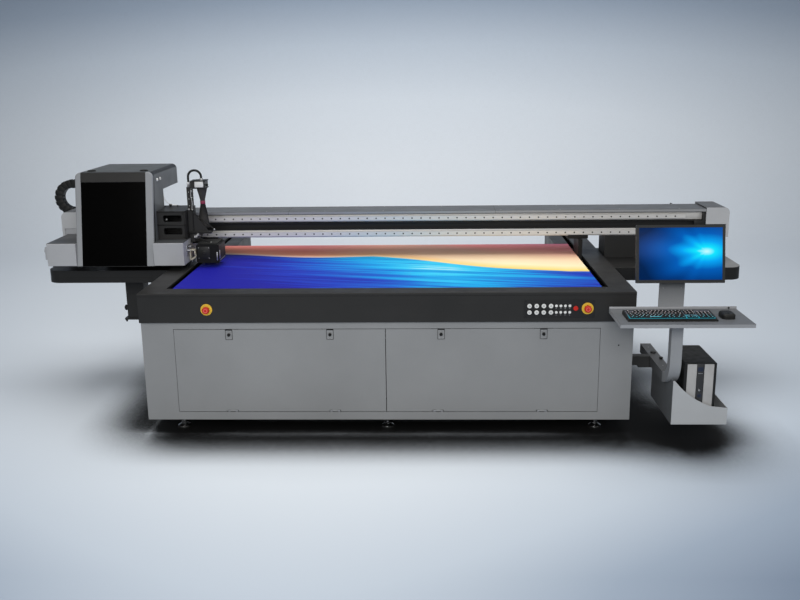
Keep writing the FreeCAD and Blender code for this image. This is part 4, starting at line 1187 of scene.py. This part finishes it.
def louvres():
    high = node_box("cabinet_panels")[1]
    vents = Piece("cabinet_louvres", "base", "grey_panel")
    gaps = Piece("louvre_gaps", "base", "black_plastic", HOLE)
    for x, i in grid((-1050, -230, 590), range(9)):
        z = 300 + i * LOUVRE_PITCH
        vents.prism(blade(high.y, 7, z), "YZ", x, x + 460, 1.0)
        gaps.block(x + 3, x + 457, high.y - 0.2, high.y + 1.2, z - 3.5, z + 0.4)
    for side, i in grid((-1, 1), range(9)):
        z = 320 + i * LOUVRE_PITCH
        vents.prism(blade(high.x, 3, z, side), "XZ", 1420, 1820, 0.6)
        gaps.block(side * (high.x - 0.2), side * (high.x + 0.9), 1423, 1817, z - 3.5, z + 0.4)
    vents.finish()
    gaps.finish()


def supply_panel():
    """The mains panel at the rear: a red switch, a rating plate and three cable glands."""
    wall = node_box("cabinet_panels")[1].y
    supply = Piece("supply_panel", "base", "dark_frame")
    supply.prism(rounded_outline(-1330, -1130, 150, 320, 10), "XZ", wall - 0.5, wall + 4, 1)
    supply.turned((-1280, wall + 4, 270), REAR, [(30, 0), (30, 3), (27, 5), (27, 6)], 32)
    supply.paint("red_plastic")
    supply.turned((-1280, wall + 10, 270), REAR, [(20, 0), (20, 3), (18, 6)], 28)
    supply.paint("black_plastic")
    supply.block(-1210, -1160, wall + 3, wall + 9, 250, 290, 3)
    gland = [(15, 0), (15, 4), (11, 5), (11, 10), (7, 12), (6.5, 12.4), (0, 12.4)]
    for x in (-1295, -1245, -1195):
        supply.turned((x, wall + 3.5, 190), REAR, gland, 6)
    supply.paint("steel")
    supply.cap_screws(grid((-1320, -1140), (wall + 3.8,), (160, 310)), REAR, 4)
    supply.finish()


def foot_fittings():
    feet = Piece("foot_nuts", "base", "chrome")
    pads = Piece("foot_rubber", "base", "black_plastic")
    for x, y in grid(FEET_X, FEET_Y):
        feet.turned((x, y, 62), UP, [(18, 0), (18.5, 1), (18.5, 13), (18, 14)], 6)
        feet.turned((x, y, 22), UP, [(14, 0), (17, 3), (17, 9), (12, 12)], 6)
        pads.turned((x, y, 0.2), UP, [(36.2, 0), (36.5, 1), (36.5, 5), (36.1, 6)], 36)
    feet.finish()
    pads.finish()


# ---------------------------------------------------------------- operator's arm

def screen_glow():
    """A plain wallpaper: a soft cyan glow right of the middle, with faint rays over deep blue."""
    net = Net("screen_glow")
    middle = ORIGIN + MONITOR_PLACE @ Vector((node_box("monitor")[0].x + 378, SCREEN_Y, 1082)) * MM
    away = net.node("VectorMath", operation="SUBTRACT", in0=net.coords, in1=tuple(middle))
    parts = net.tree.nodes.new("ShaderNodeSeparateXYZ")
    net.set(parts.inputs[0], away)
    right, up = parts.outputs[0], parts.outputs[2]
    wide = net.node("VectorMath", operation="MULTIPLY", in0=away, in1=(0.62, 0.0, 1.2))
    reach = net.node("VectorMath", out=1, operation="LENGTH", in0=wide)
    turn = net.math("ARCTAN2", up, net.times(right, -1.0))
    wave = net.math("SINE", net.math("MULTIPLY_ADD", turn, 11.0, 0.8))
    rays = net.times(net.spread(right, 1.0, 0.0, -0.12, 0.0), net.spread(wave, -0.004, 0.020, -1.0, 1.0))
    reach = net.minus(reach, rays)
    glow = net.ramp(net.times(reach, 4.2), ((0.0, 0xC9FDFF), (0.11, 0x12E6FF), (0.27, 0x06A4F4),
                                            (0.48, 0x025CB6), (0.78, 0x013C84), (1.0, 0x012250)))
    pale, grey = (1, 1, 1, 1), (0.9, 0.9, 0.9, 1)
    dots = net.node("TexChecker", Vector=net.coords, Scale=2600.0, Color1=pale, Color2=grey)
    return net.surface(rgb(0x010306), net.spread(dots, 0.22, 0.28, 0.9, 1.0), None, Emission_Color=glow,
                       Emission_Strength=1.0, Specular_IOR_Level=0.03)


def monitor_piece(name, slot, material=None):
    made = Piece(name, "monitor", slot, material)
    made.place = MONITOR_PLACE
    return made


def monitor_fittings():
    low, high = node_box("monitor")
    screen = monitor_piece("screen_picture", "screen", screen_glow())
    screen.block(low.x + 14.6, high.x - 14.6, SCREEN_Y + 0.9, SCREEN_Y + 2.05, 928.6, 1211.4, 0.3)
    screen.finish()
    trim = monitor_piece("monitor_trim", "black_plastic")
    trim.block(low.x + 14, high.x - 14, SCREEN_Y - 0.4, SCREEN_Y + 0.4, 924.2, 926, 0.2)
    trim.block(high.x - 30, high.x - 24, SCREEN_Y - 0.3, SCREEN_Y + 0.4, 916.5, 918, 0.2)
    trim.finish()
    back = monitor_piece("monitor_vents", "black_plastic", HOLE)
    for x in [low.x + 90 + i * 18.5 for i in range(18)]:
        back.prism(rounded_outline(x, x + 6, 1171, 1201, 2.9), "XZ", -52.3, -51.6)
    for x in (1700, 1740, 1780):
        back.block(x, x + 18, -52.4, -51.4, 934, 942, 0.5)
    back.finish()


def key_rows():
    """(row, start, width) of each key in key units: the usual full-size layout."""
    keys = []
    for row, widths in enumerate(([1.25] * 3 + [6.25] + [1.25] * 4, [2.25] + [1] * 10 + [2.75],
                                  [1.75] + [1] * 11 + [2.25], [1.5] + [1] * 12 + [1.5], [1] * 13 + [2])):
        start = 0
        for wide in widths:
            keys.append((row, start, wide))
            start += wide
    keys += [(5.3, start, 1) for start in (0, 2, 3, 4, 5, 6.5, 7.5, 8.5, 9.5, 11, 12, 13, 14)]
    keys += [(row, start, 1) for row in (0, 3, 4, 5.3) for start in (15.3, 16.3, 17.3)] + [(1, 16.3, 1)]
    keys += [(row, start, 1) for row in (1, 2, 3, 4) for start in (18.6, 19.6, 20.6)]
    return keys + [(0, 18.6, 2), (0, 20.6, 1)] + [(row, 21.6, 1) for row in range(5)]


def glow_paint(name, front, rear, strength):
    """Light between the keys, one colour at the front and another at the rear."""
    low, high = node_box("keyboard")
    net = Net(name)
    deep = net.spread(net.along("Y"), 0.0, 1.0, at(0, low.y + 30, 0).y, at(0, high.y - 60, 0).y)
    patch = net.spread(net.noise(26.0, 2.0), -0.25, 0.25)
    colour = net.mix(net.plus(deep, patch), rgb(front), rgb(rear))
    roughness = net.spread(net.noise(300.0, 2.0), 0.3, 0.5)
    return net.surface(colour, roughness, None, Emission_Color=colour, Emission_Strength=strength)


def keyboard_fittings():
    low, high = node_box("keyboard")
    slope = math.atan2(high.z - low.z - 12.0, high.y - low.y)
    keys = Piece("keyboard_keys", "arm", "black_plastic")
    print_glow = glow_paint("key_marks", 0x4FC3D4, 0xE0D0D2, 0.7)
    marks = Piece("keyboard_marks", "arm", "black_plastic", print_glow)
    back_glow = glow_paint("key_backlight", 0x128090, 0x4A4A52, 0.5)
    under = Piece("keyboard_backlight", "arm", "black_plastic", back_glow)
    for piece in (keys, marks, under):
        piece.place = Matrix.Translation((low.x, low.y, low.z + 12)) @ Matrix.Rotation(slope, 4, "X")
    x0, y0, gap = 14.0, 20.0, 1.1
    outline = rounded_outline(x0 - 4, x0 + KEY_UNIT * 22.6 + 4, y0 - 4, y0 + KEY_UNIT * 6.3 + 4, 5)
    under.prism(outline, "XY", 0.1, 0.6)
    for row, start, wide in key_rows():
        a, b = x0 + start * KEY_UNIT + gap, x0 + (start + wide) * KEY_UNIT - gap
        c, d = y0 + row * KEY_UNIT + gap, y0 + (row + 1) * KEY_UNIT - gap
        keys.block(a, b, c, d, 0.7, 6.5, 1.6, 2)
        middle = (a + b) / 2
        half = 2.6 if wide < 3 else 30
        marks.block(middle - half, middle + half, (c + d) / 2 - 1.4, (c + d) / 2 + 2.4, 6.3, 6.62, 0.1, 1)
    keys.finish()
    marks.finish()
    under.finish()


def mouse_fittings():
    low, high = node_box("mouse")
    middle = (low.x + high.x) / 2
    wheel = Piece("mouse_wheel", "arm", "black_plastic", HOLE)
    tyre = [(8.6, 0), (9.4, 1.2), (9.4, 5.8), (8.6, 7)]
    wheel.turned((middle - 3.5, low.y + 30, high.z - 7), RIGHT, tyre, 24)
    wheel.block(middle - 0.4, middle + 0.4, low.y + 38, low.y + 66, high.z - 1.0, high.z + 0.15, 0.1, 1)
    wheel.finish()


def computer_front():
    """The tower's front: two silver strips, and the drive panel with its button and lamp between them."""
    low, high = node_box("pc_tower")
    middle = (low.x + high.x) / 2
    face = Piece("pc_front_strips", "arm", "aluminium", moulded("silver_plastic", 0xA4A4A4, 0.38))

    def strip(start, end, front, rear, bottom, top, r):
        """A block between two parts of the tower's width."""
        wide = high.x - low.x
        face.block(low.x + wide * start, low.x + wide * end, low.y - front, low.y + rear, bottom, top, r)

    strip(0.09, 0.385, 3, 1, low.z + 6, high.z - 8, 1.5)
    strip(0.62, 0.915, 3, 1, low.z + 6, high.z - 8, 1.5)
    face.paint(moulded("drive_grey", 0x343537, 0.4))
    strip(0.40, 0.605, 1.6, 1, low.z + 6, high.z - 6, 1)
    face.paint(moulded("drive_blue", 0x262C3C, 0.35))
    strip(0.415, 0.59, 2.4, 0, high.z - 50, high.z - 25, 0.8)
    face.turned((middle, low.y - 1.5, high.z - 189), FRONT, [(11, 0), (11, 1.4), (9.5, 2.2), (0, 2.4)], 24)
    face.paint("steel")
    strip(0.43, 0.575, 2.4, 0, high.z - 63, high.z - 60, 0.4)
    face.turned((middle, low.y - 1.5, high.z - 159), FRONT, [(5, 0), (5, 1.4), (4.2, 2.0), (0, 2.0)], 20)
    face.finish()


def computer_case():
    """The tower's case: side slots, a seam behind the front, card slots and a fan ring at the rear."""
    low, high = node_box("pc_tower")
    rim = Piece("pc_case_details", "arm", "black_plastic")
    for z in [low.z + 37 + i * 16 for i in range(16)]:
        slot = rounded_outline(-120, -20, z, z + 6, 2.9)
        rim.prism(slot, "YZ", high.x - 0.3, high.x + 0.5)
        rim.prism(slot, "YZ", low.x - 0.5, low.x + 0.3)
    rim.block(low.x + 4, high.x - 4, low.y + 9, low.y + 10.2, high.z - 0.3, high.z + 0.2)
    for z in [low.z + 37 + i * 24 for i in range(6)]:
        rim.block(low.x + 25, low.x + 70, high.y - 0.2, high.y + 1.5, z, z + 12, 1)
    fan = [(42, 0), (42, 1.2), (40, 1.2), (39, 0.3), (0, 0.3)]
    rim.turned((low.x + 120, high.y - 0.2, high.z - 90), REAR, fan, 32)
    rim.finish()


def arm_fittings():
    low, high = node_box("keyboard_tray")
    knob = Piece("arm_clamp_screws", "arm", "black_plastic")
    knob.turned((1608, 180, 399.8), UP, [(7, 0), (7, 3), (11, 4), (11, 12), (8, 14), (0, 14.4)], 16)
    knob.paint("steel")
    knob.cap_screws(grid((1589,), (60, 420), (399.8,)), UP, 3.4)
    knob.paint("grey_panel")
    knob.cap_screws(grid((1540, 1638), (-35.8,), (790, 880, 1040)), FRONT, 3.4)
    knob.cap_screws(grid((1530, 1648), (-100,), (low.z - 11.8,)), DOWN, 4)
    knob.finish()
    edge = Piece("tray_edge_strip", "arm", "light_grey")
    edge.block(low.x + 0.5, high.x - 0.5, high.y - 3.6, high.y - 3.0, high.z - 14.5, high.z - 1, 0.2)
    edge.paint("black_plastic")
    edge.turned((high.x - 44, high.y - 3.4, high.z - 7), FRONT, [(5, 0), (5, 5), (3.6, 6.4), (0, 6.6)], 16)
    edge.finish()


rail_fittings()
cap_fittings()
cover_fittings()
tray_fittings()
lower_run()
chain_bend()
chain_anchor()
hood_fittings()
plate_fittings()
hose()
wires()
junction_box()
mast_track()
lamp_braces()
lamp_trim()
skirt_end()
control_fittings()
surround_trim()
latch_fittings()
wall_fittings()
louvres()
supply_panel()
foot_fittings()
monitor_fittings()
keyboard_fittings()
mouse_fittings()
computer_front()
computer_case()
arm_fittings()
